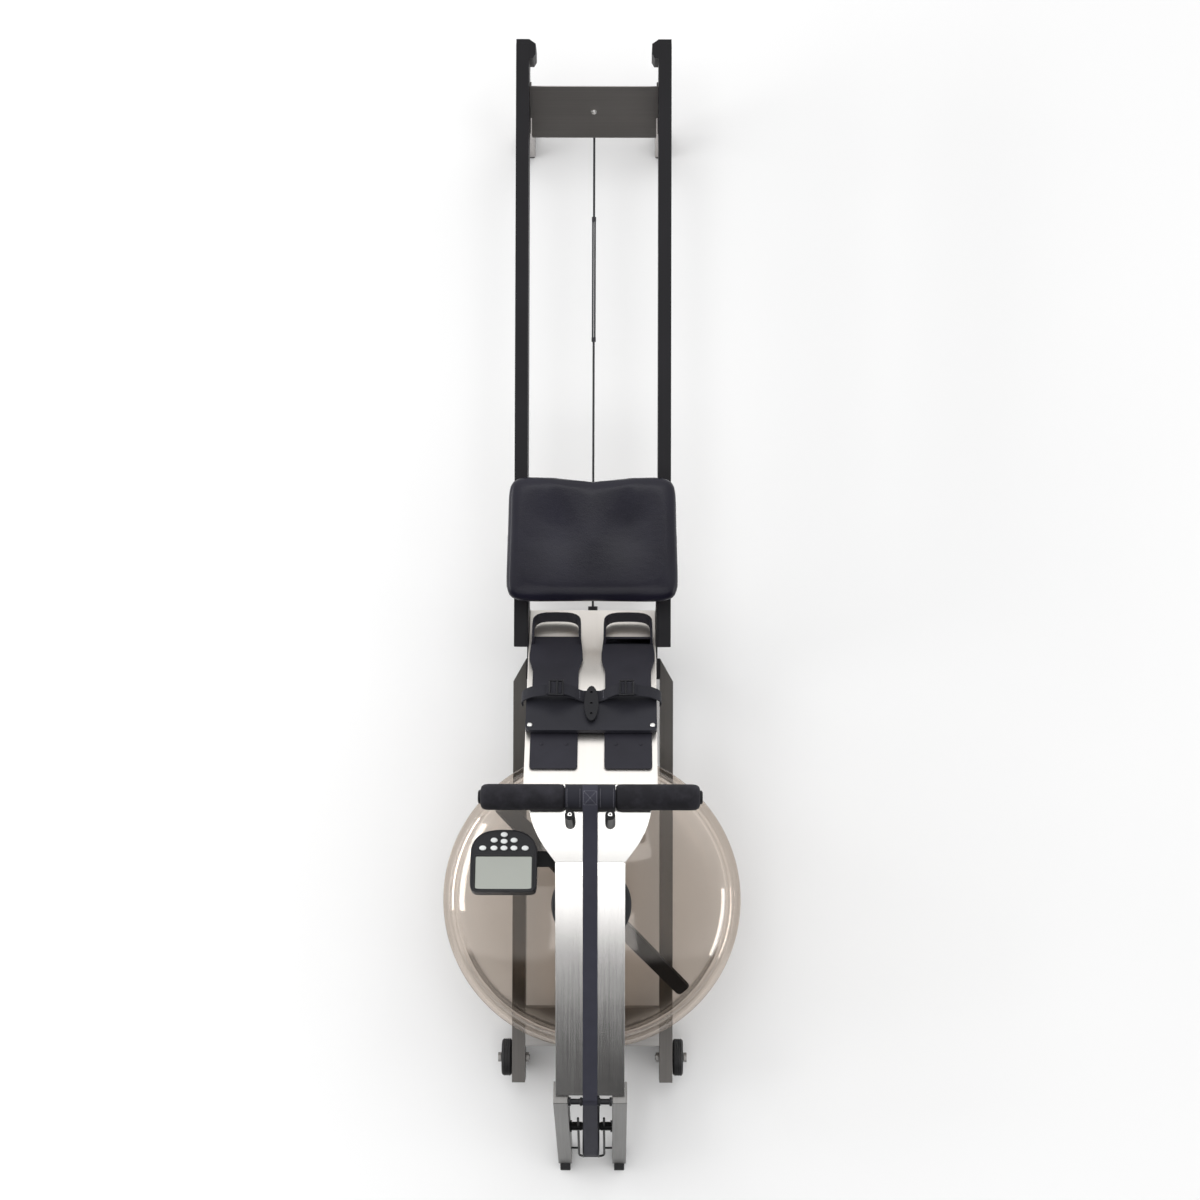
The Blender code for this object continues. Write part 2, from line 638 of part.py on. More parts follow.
def make_deck():
    """A bent plate, with a tongue that lies on the spine past the fold, and a channel welded under it."""
    half = deck_outline()
    outline = half + [(-x, y) for x, y in reversed(half[:-1])]
    body = bmesh.new()
    face = body.faces.new([body.verts.new((x, y, 0)) for x, y in reversed(outline)])
    bmesh.ops.bisect_plane(body, geom=[face, *face.edges, *face.verts], plane_co=(0, FOLD_Y, 0),
                           plane_no=(0, 1, 0), dist=1e-6)
    top = bmesh.ops.extrude_face_region(body, geom=list(body.faces))
    for item in top["geom"]:
        if isinstance(item, bmesh.types.BMVert):
            item.co.z += SPINE_WALL
    rise = (FOLD_Z - BOARD_HEAD[1]) / (BOARD_HEAD[0] - FOLD_Y)
    for vert in body.verts:
        past = FOLD_Y - vert.co.y
        slope = rise if past < 0 else -tan(SPINE_PITCH)
        vert.co.z += FOLD_Z + past * slope
    bmesh.ops.recalc_face_normals(body, faces=body.faces)
    mesh = bpy.data.meshes.new("top_deck")
    body.to_mesh(mesh)
    body.free()
    slope = atan2(FOLD_Z - BOARD_HEAD[1], BOARD_HEAD[0] - FOLD_Y)
    front = Vector((FOLD_Y + 0.004, FOLD_Z + SPINE_WALL * 0.4))
    length = (BOARD_HEAD[0] - FOLD_Y - 0.040) / cos(slope)
    middle = front + Vector((cos(slope), -sin(slope))) * length / 2
    section = channel(SUPPORT_HALF_WIDTH, SUPPORT_DEPTH, SPINE_WALL)
    support = extruded("support", [section], length, STEEL, (0, *middle), (pi / 2 - slope, 0, 0))
    welded("top_deck", [add("top_deck", mesh, BRIGHT_STEEL), support])


def make_spine():
    """The long channel over the tank. Its flanges stop short of the legs, which stand under its front end."""
    clear = 0.0006
    end = Vector((FOLD_Y, FOLD_Z - clear))
    front = Vector((SPINE_FRONT[0], SPINE_FRONT[1] - clear))
    middle = (end + front) / 2
    section = channel(SPINE_HALF_WIDTH, SPINE_FLANGE, SPINE_WALL)
    spine = baked(extruded("spine", [section], SPINE_LENGTH, STEEL, (0, *middle), (pi / 2 + SPINE_PITCH, 0, 0)))
    reach = 0.12
    notch = [
        (SPINE_FLANGE_END_Y, SPINE_FRONT[1] - reach),
        (SPINE_FLANGE_END_Y, spine_z(SPINE_FLANGE_END_Y) - clear - SPINE_WALL * 1.2),
        (SPINE_FLANGE_END_Y - reach, spine_z(SPINE_FLANGE_END_Y - reach) - clear - SPINE_WALL * 1.2),
        (SPINE_FLANGE_END_Y - reach, SPINE_FRONT[1] - reach),
    ]
    cutter = profile_x("spine_notch", [notch], 0, 4 * SPINE_HALF_WIDTH, STEEL)
    cut(spine, as_cutter(baked(cutter)))


def spine_z(y):
    """The height of the spine's top line at y."""
    return FOLD_Z + (y - FOLD_Y) * tan(SPINE_PITCH)


# ---- front legs and feet -------------------------------------------------------------------------
def make_front_legs():
    """Slanted box tubes, closed at the top and open at the foot, under the front end of the spine."""
    down = Vector((-sin(LEG_PITCH), -cos(LEG_PITCH)))
    back = Vector((cos(LEG_PITCH), -sin(LEG_PITCH)))
    middle = Vector(LEG_TOP) + down * LEG_LENGTH / 2 + back * LEG_DEPTH / 2
    for side, name in zip(SIDES, ("front_leg_left", "front_leg_right")):
        place = (side * LEG_X, *middle)
        turn = (-LEG_PITCH, 0, 0)
        leg = baked(extruded(name, [rectangle(LEG_WIDTH, LEG_DEPTH)], LEG_LENGTH, STEEL, place, turn))
        hollow = [rectangle(LEG_WIDTH - 2 * LEG_WALL, LEG_DEPTH - 2 * LEG_WALL)]
        lowered = Vector(place) + Vector((0, *down)) * 2 * LEG_WALL
        core = extruded(name + "_core", hollow, LEG_LENGTH, STEEL, lowered, turn)
        cut(leg, as_cutter(baked(core)))


def make_front_feet():
    """Round-nosed rubber wedges under the front legs."""
    toe = LEG_FOOT[0] - FOOT_REACH
    heel = LEG_FOOT[0] + LEG_DEPTH * cos(LEG_PITCH)
    slope = tan(LEG_PITCH)
    clear = 2 * GAP / cos(LEG_PITCH)
    outline = [
        (heel, 0), (toe + 0.004, 0), (toe, 0.005), (toe, 0.014), (toe + 0.0045, 0.0215),
        (LEG_FOOT[0] - 0.001, LEG_FOOT[1] + 0.001 * slope - clear),
        (heel, LEG_FOOT[1] - LEG_DEPTH * sin(LEG_PITCH) - clear),
    ]
    for side, name in zip(SIDES, ("front_foot_left", "front_foot_right")):
        profile_x(name, [outline], side * LEG_X, 2 * FOOT_HALF_WIDTH, RUBBER)


# ---- belt drive ----------------------------------------------------------------------------------
def belt_line_z(y, layer):
    """The middle of a belt layer over the spine; the layers lie one above the other."""
    lift = 0.0012 + BELT_THICK / 2 + layer * BELT_STEP
    return spine_z(y) + SPINE_WALL + lift / cos(SPINE_PITCH)


ROLLER_Z = belt_line_z(ROLLER_Y, 0) - BELT_THICK / 2 - RUN_FIT - ROLLER_RADIUS / cos(SPINE_PITCH)


def make_belt_run():
    """The belt's fixed route: along the spine, over the roller, round the pulley and back to the drum, turning."""
    gap = RUN_FIT + BELT_THICK / 2
    roller = Vector((ROLLER_Y, ROLLER_Z))
    pulley = Vector((PULLEY_Y, PULLEY_Z))
    small = ROLLER_RADIUS + gap
    large = PULLEY_RADIUS + gap
    apart = pulley - roller
    run_angle = atan2(apart.y, apart.x)
    front_angle = run_angle - pi / 2 - asin((large - small) / apart.length)
    low_point = pulley + Vector((cos(-pi / 3), sin(-pi / 3))) * large
    reach = Vector((TANK_Y, DRUM_Z)) - low_point
    rear_angle = atan2(RISE_POWER * reach.y, reach.x) - pi / 2
    over = arc_points(roller, small, pi / 2 + SPINE_PITCH, front_angle + 2 * pi, 4)
    around = arc_points(pulley, large, front_angle + 2 * pi, rear_angle + 2 * pi, 20)
    start_y = ROLLER_Y + BELT_LAYER
    flat = [(start_y, belt_line_z(start_y, 0))]
    planar = flat + over + around
    route = [(0, y, z) for y, z in planar]
    across = [(1, 0, 0)] * len(route)
    leave = Vector(route[-1])
    arrive = Vector((DRUM_RADIUS + gap, TANK_Y - 0.004, DRUM_Z))
    steps = 12
    for k in range(1, steps + 1):
        t = k / steps
        place = leave.lerp(arrive, t)
        place.z = leave.z + (arrive.z - leave.z) * (1 - (1 - t) ** RISE_POWER)
        route.append(tuple(place))
        twist = t * t * (3 - 2 * t) * pi / 2
        across.append((cos(twist), 0, sin(twist)))
    band("belt_run", route, across, BELT_WIDTH, BELT_THICK, WEBBING)


def belt_layer(name, layer, parent=None):
    """A straight run of belt over the spine that slides on the one below, so the belt pays out unbroken."""
    ends = (ROLLER_Y + 0.004, ROLLER_Y + BELT_LAYER)
    route = [(0, y, belt_line_z(y, layer)) for y in ends]
    band(name, route, [(1, 0, 0)] * 2, BELT_WIDTH, BELT_THICK, WEBBING, parent)


def make_pulleys():
    """The upper roller on its spindle between the legs, and the flanged front pulley."""
    half = BELT_WIDTH / 2 + 0.0012
    reach = LEG_INNER_X - GAP
    roller = [(0, reach), (0.0078, reach), (0.0078, reach - 0.004), (0.0052, reach - 0.005),
              (0.0052, half + 0.004), (0.0076, half + 0.003), (0.0076, half), (ROLLER_RADIUS, half - 0.0004)]
    roller += [(r, -z) for r, z in reversed(roller)]
    turned("belt_roller", roller, BLACK_PLASTIC, (0, ROLLER_Y, ROLLER_Z), TO_X, 14)
    wide = PULLEY_WIDTH / 2
    rim = PULLEY_RADIUS + PULLEY_FLANGE
    bore = AXLE_RADIUS + RUN_FIT
    pulley = [
        (rim, wide), (rim, wide - FLANGE_THICK / 2), (PULLEY_RADIUS, wide - FLANGE_THICK / 2 - 0.0003),
        (PULLEY_RADIUS, -wide + FLANGE_THICK / 2 + 0.0003), (rim, -wide + FLANGE_THICK / 2), (rim, -wide),
        (rim - 0.008, -wide), (rim - 0.010, -wide + 0.006), (0.016, -wide + 0.006), (0.014, -wide), (bore, -wide),
        (bore, wide), (0.014, wide), (0.016, wide - 0.006), (rim - 0.010, wide - 0.006), (rim - 0.008, wide),
    ]
    turned("front_pulley", pulley, BLACK_PLASTIC, (0, PULLEY_Y, PULLEY_Z), TO_X, 28, ring=True)


def axle_piece():
    """The front pulley's fixed axle, with collars against the legs and spacers against the pulley."""
    reach = LEG_INNER_X - GAP
    collar = PULLEY_WIDTH / 2 + RUN_FIT
    axle = [
        (0, reach), (COLLAR_RADIUS + 0.003, reach), (COLLAR_RADIUS + 0.003, reach - 0.003),
        (COLLAR_RADIUS, reach - 0.003), (COLLAR_RADIUS, collar + 0.002), (AXLE_RADIUS + 0.002, collar + 0.002),
        (AXLE_RADIUS + 0.002, collar), (AXLE_RADIUS, collar),
    ]
    axle += [(r, -z) for r, z in reversed(axle)]
    return turned("pulley_axle", axle, BLACK_METAL, (0, PULLEY_Y, PULLEY_Z), TO_X, 12)


def make_drum():
    """A flanged drum for the belt with a small spool for the return cord under it, on the paddle's shaft."""
    half = BELT_WIDTH / 2 + DRUM_CLEAR
    rim = DRUM_RADIUS + 0.007
    bore = SHAFT_RADIUS + RUN_FIT
    low = SPOOL_Z - DRUM_Z
    profile = [
        (rim, half + 0.002), (rim, half), (DRUM_RADIUS, half), (DRUM_RADIUS, -half), (rim, -half),
        (rim, -half - 0.002), (0.022, -half - 0.002), (0.022, low - 0.004), (rim * 0.8, low - 0.0045),
        (rim * 0.8, low - 0.0065), (bore, low - 0.0065), (bore, half + 0.002),
    ]
    turned("belt_drum", profile, BLACK_PLASTIC, (0, TANK_Y, DRUM_Z), steps=24, ring=True)


def make_axle_and_guide():
    """The axle, and the bent wire welded to it and to the legs that keeps the belt on the front pulley."""
    wide = GUIDE_HALF_WIDTH
    stub = Vector((PULLEY_Y + 0.022, PULLEY_Z + 0.036))
    nose = Vector((PULLEY_Y - 0.079, PULLEY_Z - 0.112))
    slope = (nose - stub).normalized()
    corner = 0.010
    sides = []
    for side in SIDES:
        bend = [(side * (wide - corner * (1 - cos(a))), *(nose - slope * corner * (1 - sin(a))))
                for a in (0, pi / 6, pi / 3, pi / 2)]
        sides.append([(side * wide, *stub)] + bend)
    hoop = wire("hoop", [sides[0] + list(reversed(sides[1]))], GUIDE_WIRE, BLACK_METAL)
    pieces = [axle_piece(), hoop]
    anchor = nose - slope * 0.0395
    for side in SIDES:
        ends = [(side * wide, *anchor), (side * (LEG_INNER_X - GAP), *anchor)]
        pieces.append(wire("arm", [ends], GUIDE_WIRE * 0.95, BLACK_METAL))
    welded("pulley_axle", pieces)


# ---- tank, hub and paddle ------------------------------------------------------------------------
def make_tank():
    """Two clear tinted shells with a bolted rim, a hub housing on top and a paddle on a shaft inside."""
    r, t, low = TANK_SKIN_RADIUS, TANK_WALL, TANK_BOTTOM_Z + GAP
    outer = [(TANK_RADIUS, TANK_RIM_Z), (TANK_RADIUS, TANK_RIM_Z - TANK_RIM_THICK), (r, TANK_RIM_Z - TANK_RIM_THICK),
             (r, 0.120), (r - 0.008, 0.101), (r - 0.024, 0.088), (r - 0.046, low), (0, low)]
    inner = [(0, low + t), (r - 0.047, low + t), (r - 0.027, 0.091), (r - 0.012, 0.104), (r - t, 0.121),
             (r - t, TANK_RIM_Z)]
    turned("tank_lower", outer + inner, TINTED, (0, TANK_Y, 0), steps=40, ring=True)
    bore = SHAFT_RADIUS + RUN_FIT
    base = TANK_RIM_Z + GAP
    outer = [(bore, TANK_TOP_Z), (0.060, TANK_TOP_Z), (0.110, 0.2790), (0.160, 0.2670), (0.205, 0.2520),
             (0.238, 0.2360), (0.257, 0.2210), (r, base + TANK_RIM_THICK), (TANK_RADIUS, base + TANK_RIM_THICK),
             (TANK_RADIUS, base)]
    inner = [(r - t, base), (0.2535, 0.2175), (0.235, 0.2320), (0.203, 0.2475), (0.159, 0.2628),
             (0.109, 0.2748), (0.060, TANK_TOP_Z - t), (bore, TANK_TOP_Z - t)]
    turned("tank_upper", outer + inner, TINTED, (0, TANK_Y, 0), steps=40, ring=True)
    seat = TANK_TOP_Z + GAP
    hub = [(bore, HUB_TOP_Z), (0.026, HUB_TOP_Z), (0.030, HUB_TOP_Z - 0.004), (0.034, 0.318), (0.050, 0.306),
           (HUB_RADIUS - 0.003, 0.302), (HUB_RADIUS, 0.299), (HUB_RADIUS, 0.2895), (0.062, 0.2895),
           (0.060, seat), (bore, seat)]
    turned("hub_housing", hub, BLACK_PLASTIC, (0, TANK_Y, 0), steps=24, ring=True)
    shaft_top = DRUM_Z + BELT_WIDTH / 2 + 0.010
    hub_profile = [(0, shaft_top), (SHAFT_RADIUS, shaft_top), (SHAFT_RADIUS, PADDLE_Z + 0.030),
                   (0.022, PADDLE_Z + 0.028), (0.026, PADDLE_Z - 0.026), (0.010, TANK_BOTTOM_Z + TANK_WALL + 0.006),
                   (0, TANK_BOTTOM_Z + TANK_WALL + 0.004)]
    hub = baked(turned("paddle", hub_profile, BLACK_PLASTIC, (0, TANK_Y, 0), steps=16))
    for i, heading in enumerate((-pi / 4, 3 * pi / 4)):
        blade = rounded([(0.004, -PADDLE_WIDTH / 2), (PADDLE_REACH, -PADDLE_WIDTH / 2 * 0.8),
                         (PADDLE_REACH, PADDLE_WIDTH / 2 * 0.8), (0.004, PADDLE_WIDTH / 2)], 0.008, 3)
        piece = extruded("blade_%d" % i, [blade], PADDLE_THICK, BLACK_PLASTIC)
        pitch = Matrix.Rotation(PADDLE_PITCH, 4, "X")
        piece.matrix_world = Matrix.Translation((0, TANK_Y, PADDLE_Z)) @ Matrix.Rotation(heading, 4, "Z") @ pitch
        cut(hub, as_cutter(baked(piece)), "UNION")


# ---- seat ----------------------------------------------------------------------------------------
def seat_outline(inset):
    """The seat from above: a rounded rectangle, a little wider in front, with a shallow notch behind."""
    w = SEAT_HALF_WIDTH - inset
    front = SEAT_FRONT_Y + inset
    rear = SEAT_FRONT_Y + SEAT_DEPTH - inset
    corners = [(-w, front), (w, front), (w - 0.003, rear), (0.045, rear), (0, rear - SEAT_NOTCH), (-0.045, rear),
               (0.003 - w, rear)]
    return rounded(corners, SEAT_CORNER - inset / 2, 5)


def make_seat():
    """A padded seat on a board, with steel angles that hang inside the rails and two wheel sets on the rails."""
    top = PAD_BOTTOM_Z + PAD_THICK
    profile_z("seat_pad", [seat_outline(0)], PAD_BOTTOM_Z, top, VINYL)
    profile_z("seat_base", [seat_outline(BASE_INSET)], BASE_BOTTOM_Z, BASE_BOTTOM_Z + BASE_THICK, PLYWOOD)
    front, rear = SEAT_FRONT_Y + 0.010, SEAT_FRONT_Y + SEAT_DEPTH - 0.008
    spindle = SEAT_WHEEL_BORE - RUN_FIT
    for side, name in zip(SIDES, ("seat_bracket_left", "seat_bracket_right")):
        x, z = BRACKET_X, BASE_BOTTOM_Z - GAP
        angle = [(x, z), (x - BRACKET_FLANGE, z), (x - BRACKET_FLANGE, z - SHEET), (x - SHEET, z - SHEET),
                 (x - SHEET, z - BRACKET_DROP), (x, z - BRACKET_DROP)]
        outline = [(side * a, b) for a, b in angle]
        bracket = baked(profile_y(name, [outline], front, rear, STEEL))
        for y in seat_wheel_places():
            drill = rod(name + "_drill", spindle + RUN_FIT, -0.01, 0.01, STEEL, (side * x, y, SEAT_WHEEL_Z), TO_X)
            cut(bracket, as_cutter(drill))
    w, r = SEAT_WHEEL_WIDTH / 2, SEAT_WHEEL_RADIUS
    end = SEAT_WHEEL_X + w + 0.002
    outer, inner = SEAT_WHEEL_X + w, SEAT_WHEEL_X - w
    half = [(0, end), (AXLE_HEAD, end), (AXLE_HEAD, outer), (r - 0.001, outer), (r, outer - 0.002),
            (r, inner + 0.002), (r - 0.001, inner), (AXLE_HEAD, inner), (AXLE_HEAD, inner - 0.0015),
            (spindle, inner - 0.0015)]
    profile = half + [(a, -b) for a, b in reversed(half)]
    for y, name in zip(seat_wheel_places(), ("seat_wheels_front", "seat_wheels_rear")):
        turned(name, profile, BLACK_PLASTIC, (0, y, SEAT_WHEEL_Z), TO_X, 18)


def seat_wheel_places():
    """The two axle lines under the seat."""
    return (SEAT_FRONT_Y + SEAT_WHEEL_INSET, SEAT_FRONT_Y + SEAT_DEPTH - SEAT_WHEEL_INSET)


# ---- handle, pegs and their screws ---------------------------------------------------------------
def make_handle():
    """A steel bar with two foam grips, and the belt's end layer, which is sewn round the bar's middle."""
    at = (0, HANDLE_Y, HANDLE_Z)
    half = HANDLE_LENGTH / 2
    bar = [(0, half), (0.009, half), (BAR_RADIUS - 0.001, half - 0.0015), (BAR_RADIUS - 0.001, half - 0.004),
           (BAR_RADIUS - RUN_FIT, half - 0.004)]
    bar += [(r, -z) for r, z in reversed(bar)]
    turned("handle_bar", bar, BLACK_METAL, at, TO_X, 16)
    inner_end = half - 0.0015 - GRIP_LENGTH
    a, b, r = half - 0.0045, inner_end, GRIP_RADIUS
    grip = [(r - 0.009, a), (r - 0.004, a - 0.0015), (r - 0.001, a - 0.006), (r, a - 0.012), (r, b + 0.004),
            (r - 0.002, b), (BAR_RADIUS, b), (BAR_RADIUS, a)]
    for side, name in zip(SIDES, ("grip_left", "grip_right")):
        turned(name, grip, RUBBER, at, (0, side * pi / 2, 0), 16, ring=True)
    reach = inner_end - 0.0006
    wrap = sleeve("wrap", WRAP_RADIUS, BAR_RADIUS, -reach, reach, WEBBING, at, TO_X, 16)
    ends = (ROLLER_Y + 0.004, HANDLE_Y - 0.004)
    route = [(0, y, belt_line_z(y, TOP_LAYER)) for y in ends]
    layer = band("layer", route, [(1, 0, 0)] * 2, BELT_WIDTH, BELT_THICK, WEBBING)
    welded("handle_belt", [wrap, layer])


def make_pegs():
    """Two leaning pegs on the deck that hold the handle when it is let go, each with its screw in its head."""
    turn = (-PEG_LEAN, 0, 0)
    foot = 0.003 - PEG_LENGTH
    body = [(0, 0.0024), (SCREW_RADIUS * 0.6, 0.0018), (SCREW_RADIUS, 0.0), (SCREW_RADIUS, -0.0015),
            (PEG_RADIUS - 0.001, -0.0015), (PEG_RADIUS, -0.003), (PEG_RADIUS, foot + 0.0015),
            (PEG_RADIUS - 0.002, foot), (0, foot)]
    lift = SPINE_WALL + 2 * GAP
    low = BOARD_HEAD[1] - PEG_LENGTH
    under = [(FOLD_Y, low), (BOARD_HEAD[0], low), (BOARD_HEAD[0], BOARD_HEAD[1] + lift), (FOLD_Y, FOLD_Z + lift)]
    deck = as_cutter(baked(profile_x("deck_space", [under], 0, 4 * PEG_X, STEEL)))
    for side, name in zip(SIDES, ("peg_left", "peg_right")):
        cut(turned(name, body, BLACK_PLASTIC, (side * PEG_X, *PEG_HEAD), turn, 16), deck)


# ---- foot rests, laid out on the footboard -------------------------------------------------------
def board_frame():
    """An empty on the footboard's lower edge: local -Y runs up the board, and local Z stands out of it."""
    frame = bpy.data.objects.new("board_frame", None)
    frame.location = (0, *BOARD_FOOT)
    frame.rotation_euler = (-BOARD_PITCH, 0, 0)
    PARTS.objects.link(frame)
    bpy.context.view_layer.update()
    return frame


def on_board(name, outlines, low, high, finish, frame):
    """An outline drawn in (x, distance up the board), standing between two heights off the board."""
    flipped = [[(x, -t) for x, t in outline] for outline in outlines]
    part = profile_z(name, flipped, low, high, finish, parent=frame)
    bpy.context.view_layer.update()
    return part


PLATE_REST = 0.0007
HEEL_REST = PLATE_REST + FOOT_PLATE_THICK + 0.0006


def make_foot_plates(frame):
    """The fixed plates under the balls of the feet, moulded in one with a web under the crossbar."""
    top = PLATE_REST + FOOT_PLATE_THICK
    middle = (CROSSBAR_LOW + CROSSBAR_HIGH) / 2
    web = rectangle(2 * FOOT_X - FOOT_PLATE_WIDTH + 0.010, 0.040, 0, middle)
    pieces = [on_board("web", [web], PLATE_REST + GAP, top - GAP, BLACK_PLASTIC, frame)]
    for side in SIDES:
        centre = (FOOT_PLATE_LOW + FOOT_PLATE_HIGH) / 2
        length = FOOT_PLATE_HIGH - FOOT_PLATE_LOW
        outline = rounded(rectangle(FOOT_PLATE_WIDTH, length, side * FOOT_X, centre), 0.006, 3)
        pieces.append(on_board("plate", [outline], PLATE_REST, top, BLACK_PLASTIC, frame))
    welded("foot_plates", pieces)


def heel_outline(x):
    """The sliding plate: wide at the arch of the foot, with a neck above, and a straight slide under the bar."""
    half = [(0.0445, HEEL_PLATE_LOW), (0.0485, 0.118), (0.0485, 0.132), (0.0415, 0.160), (0.0415, HEEL_HIGH)]
    outline = [(x + w, t) for w, t in half] + [(x - w, t) for w, t in reversed(half)]
    return rounded(outline, 0.006, 3)


def heel_loop(x):
    """The band round the heel: two arms from the plate joined by a round back."""
    outer, reach = 0.0448, 0.0336
    centre_t = HEEL_LOW + 0.030
    loop = []
    for r_x, r_t in ((outer, 0.030), (outer - HEEL_WALL, 0.030 - HEEL_WALL)):
        turns = [pi + pi * k / 12 for k in range(13)]
        power = 0.62
        arc = []
        for a in turns:
            c, s = cos(a), sin(a)
            arc.append((x + r_x * (abs(c) ** power) * (1 if c > 0 else -1), centre_t - r_t * abs(s) ** power))
        loop.append(arc)
    end_t = centre_t + reach
    outline = [(x - outer, end_t)] + loop[0] + [(x + outer, end_t), (x + outer - HEEL_WALL, end_t)]
    return outline + list(reversed(loop[1])) + [(x + HEEL_WALL - outer, end_t)]


def make_heels(frame):
    """Sliding heel rests, each a plate with a standing band that cups the heel."""
    top = HEEL_REST + HEEL_THICK
    for side, name in zip(SIDES, ("heel_left", "heel_right")):
        x = side * FOOT_X
        plate = baked(on_board(name, [heel_outline(x)], HEEL_REST, top, BLACK_PLASTIC, frame))
        loop = on_board(name + "_band", [heel_loop(x)], HEEL_REST + 0.0004, HEEL_REST + HEEL_WALL_HEIGHT,
                        BLACK_PLASTIC, frame)
        cut(plate, as_cutter(baked(loop)), "UNION")


BAR_REST = HEEL_REST + HEEL_THICK + 0.0008


def make_crossbar(frame):
    """The bar over both heel rests, on end blocks."""
    middle = (CROSSBAR_LOW + CROSSBAR_HIGH) / 2
    length = CROSSBAR_HIGH - CROSSBAR_LOW
    w = CROSSBAR_HALF_WIDTH
    top = BAR_REST + CROSSBAR_THICK
    bar = rounded(rectangle(2 * w, length, 0, middle), 0.010, 4)
    pieces = [on_board("bar", [bar], BAR_REST, top, BLACK_PLASTIC, frame)]
    inner = FOOT_X + FOOT_PLATE_WIDTH / 2 + 2 * GAP
    for side in SIDES:
        block = rectangle(w - inner - GAP, length * 0.8, side * (w + inner - GAP) / 2, middle)
        pieces.append(on_board("block", [block], PLATE_REST, BAR_REST + 0.002, BLACK_PLASTIC, frame))
    welded("foot_crossbar", pieces)
    return top


def make_strap(frame, bar_top):
    """One strap over both feet, down round the bar's ends, with a ladder buckle on each side of the clasp."""
    half = [(0.0150, 0.0030), (0.030, 0.0110), (0.048, 0.0175), (0.068, 0.0195), (0.088, 0.0180), (0.106, 0.0140),
            (0.1195, 0.0060), (0.1240, -0.0020), (0.1225, -0.0100)]
    points = [(-x, z) for x, z in reversed(half)] + [(0, 0.0026)] + half
    middle = STRAP_LOW + STRAP_WIDTH / 2
    route = [frame.matrix_world @ Vector((x, -middle, bar_top + z)) for x, z in points]
    along = frame.matrix_world.to_3x3() @ Vector((0, 1, 0))
    pieces = [band("strap", route, [along] * len(route), STRAP_WIDTH, STRAP_THICK, WEBBING)]
    low = bar_top + 0.0195 + STRAP_THICK / 2 - 0.0004
    for side in SIDES:
        outline = rectangle(0.026, STRAP_WIDTH + 0.008, side * BUCKLE_X, middle)
        pieces.append(on_board("buckle", [outline], low, low + 0.0035, BLACK_PLASTIC, frame))
    welded("foot_strap", pieces)


def make_clasp(frame, bar_top):
    """The oval clasp that pins the strap's middle to the bar, on a block beside the strap."""
    middle = (CROSSBAR_LOW + CROSSBAR_HIGH) / 2 - 0.010
    low = bar_top + 0.0026 + STRAP_THICK / 2 + GAP
    outline = oval(CLASP_WIDTH, CLASP_LENGTH, 0, middle, 20)
    holes = [oval(0.005, 0.005, 0, middle + d, 8) for d in (-0.026, 0.0, 0.024)]
    tongue = on_board("tongue", [outline, *holes], low, low + 0.0045, BLACK_PLASTIC, frame)
    block_low = STRAP_LOW + STRAP_WIDTH + 0.001
    block_high = middle + CLASP_LENGTH / 2 - 0.010
    block = rectangle(0.010, block_high - block_low, 0, (block_low + block_high) / 2)
    foot = on_board("foot", [block], bar_top + GAP, low + 0.002, BLACK_PLASTIC, frame)
    welded("strap_clasp", [tongue, foot])


# ---- monitor -------------------------------------------------------------------------------------
def monitor_frame():
    """An empty on the monitor's face: local Z out of the face, local +Y towards the rower."""
    frame = bpy.data.objects.new("monitor_frame", None)
    frame.location = MONITOR_AT
    frame.rotation_euler = (-MONITOR_TILT, 0, 0)
    PARTS.objects.link(frame)
    bpy.context.view_layer.update()
    return frame


def monitor_outline(inset=0.0):
    """Square at the far end, with an arch at the near end over the buttons."""
    w, far = MONITOR_HALF_WIDTH - inset, inset - MONITOR_HALF_LENGTH
    corner = 0.008
    outline = []
    for side, start in ((-1, pi), (1, 1.5 * pi)):
        for k in range(5):
            a = start + k * pi / 8
            outline.append((side * (w - corner) + corner * cos(a), far + corner + corner * sin(a)))
    rise = MONITOR_HALF_LENGTH - inset - ARCH_START
    for k in range(19):
        a = pi * k / 18
        c, s = cos(a), sin(a)
        outline.append((w * abs(c) ** 0.72 * (1 if c > 0 else -1), ARCH_START + rise * abs(s) ** 0.9))
    return outline


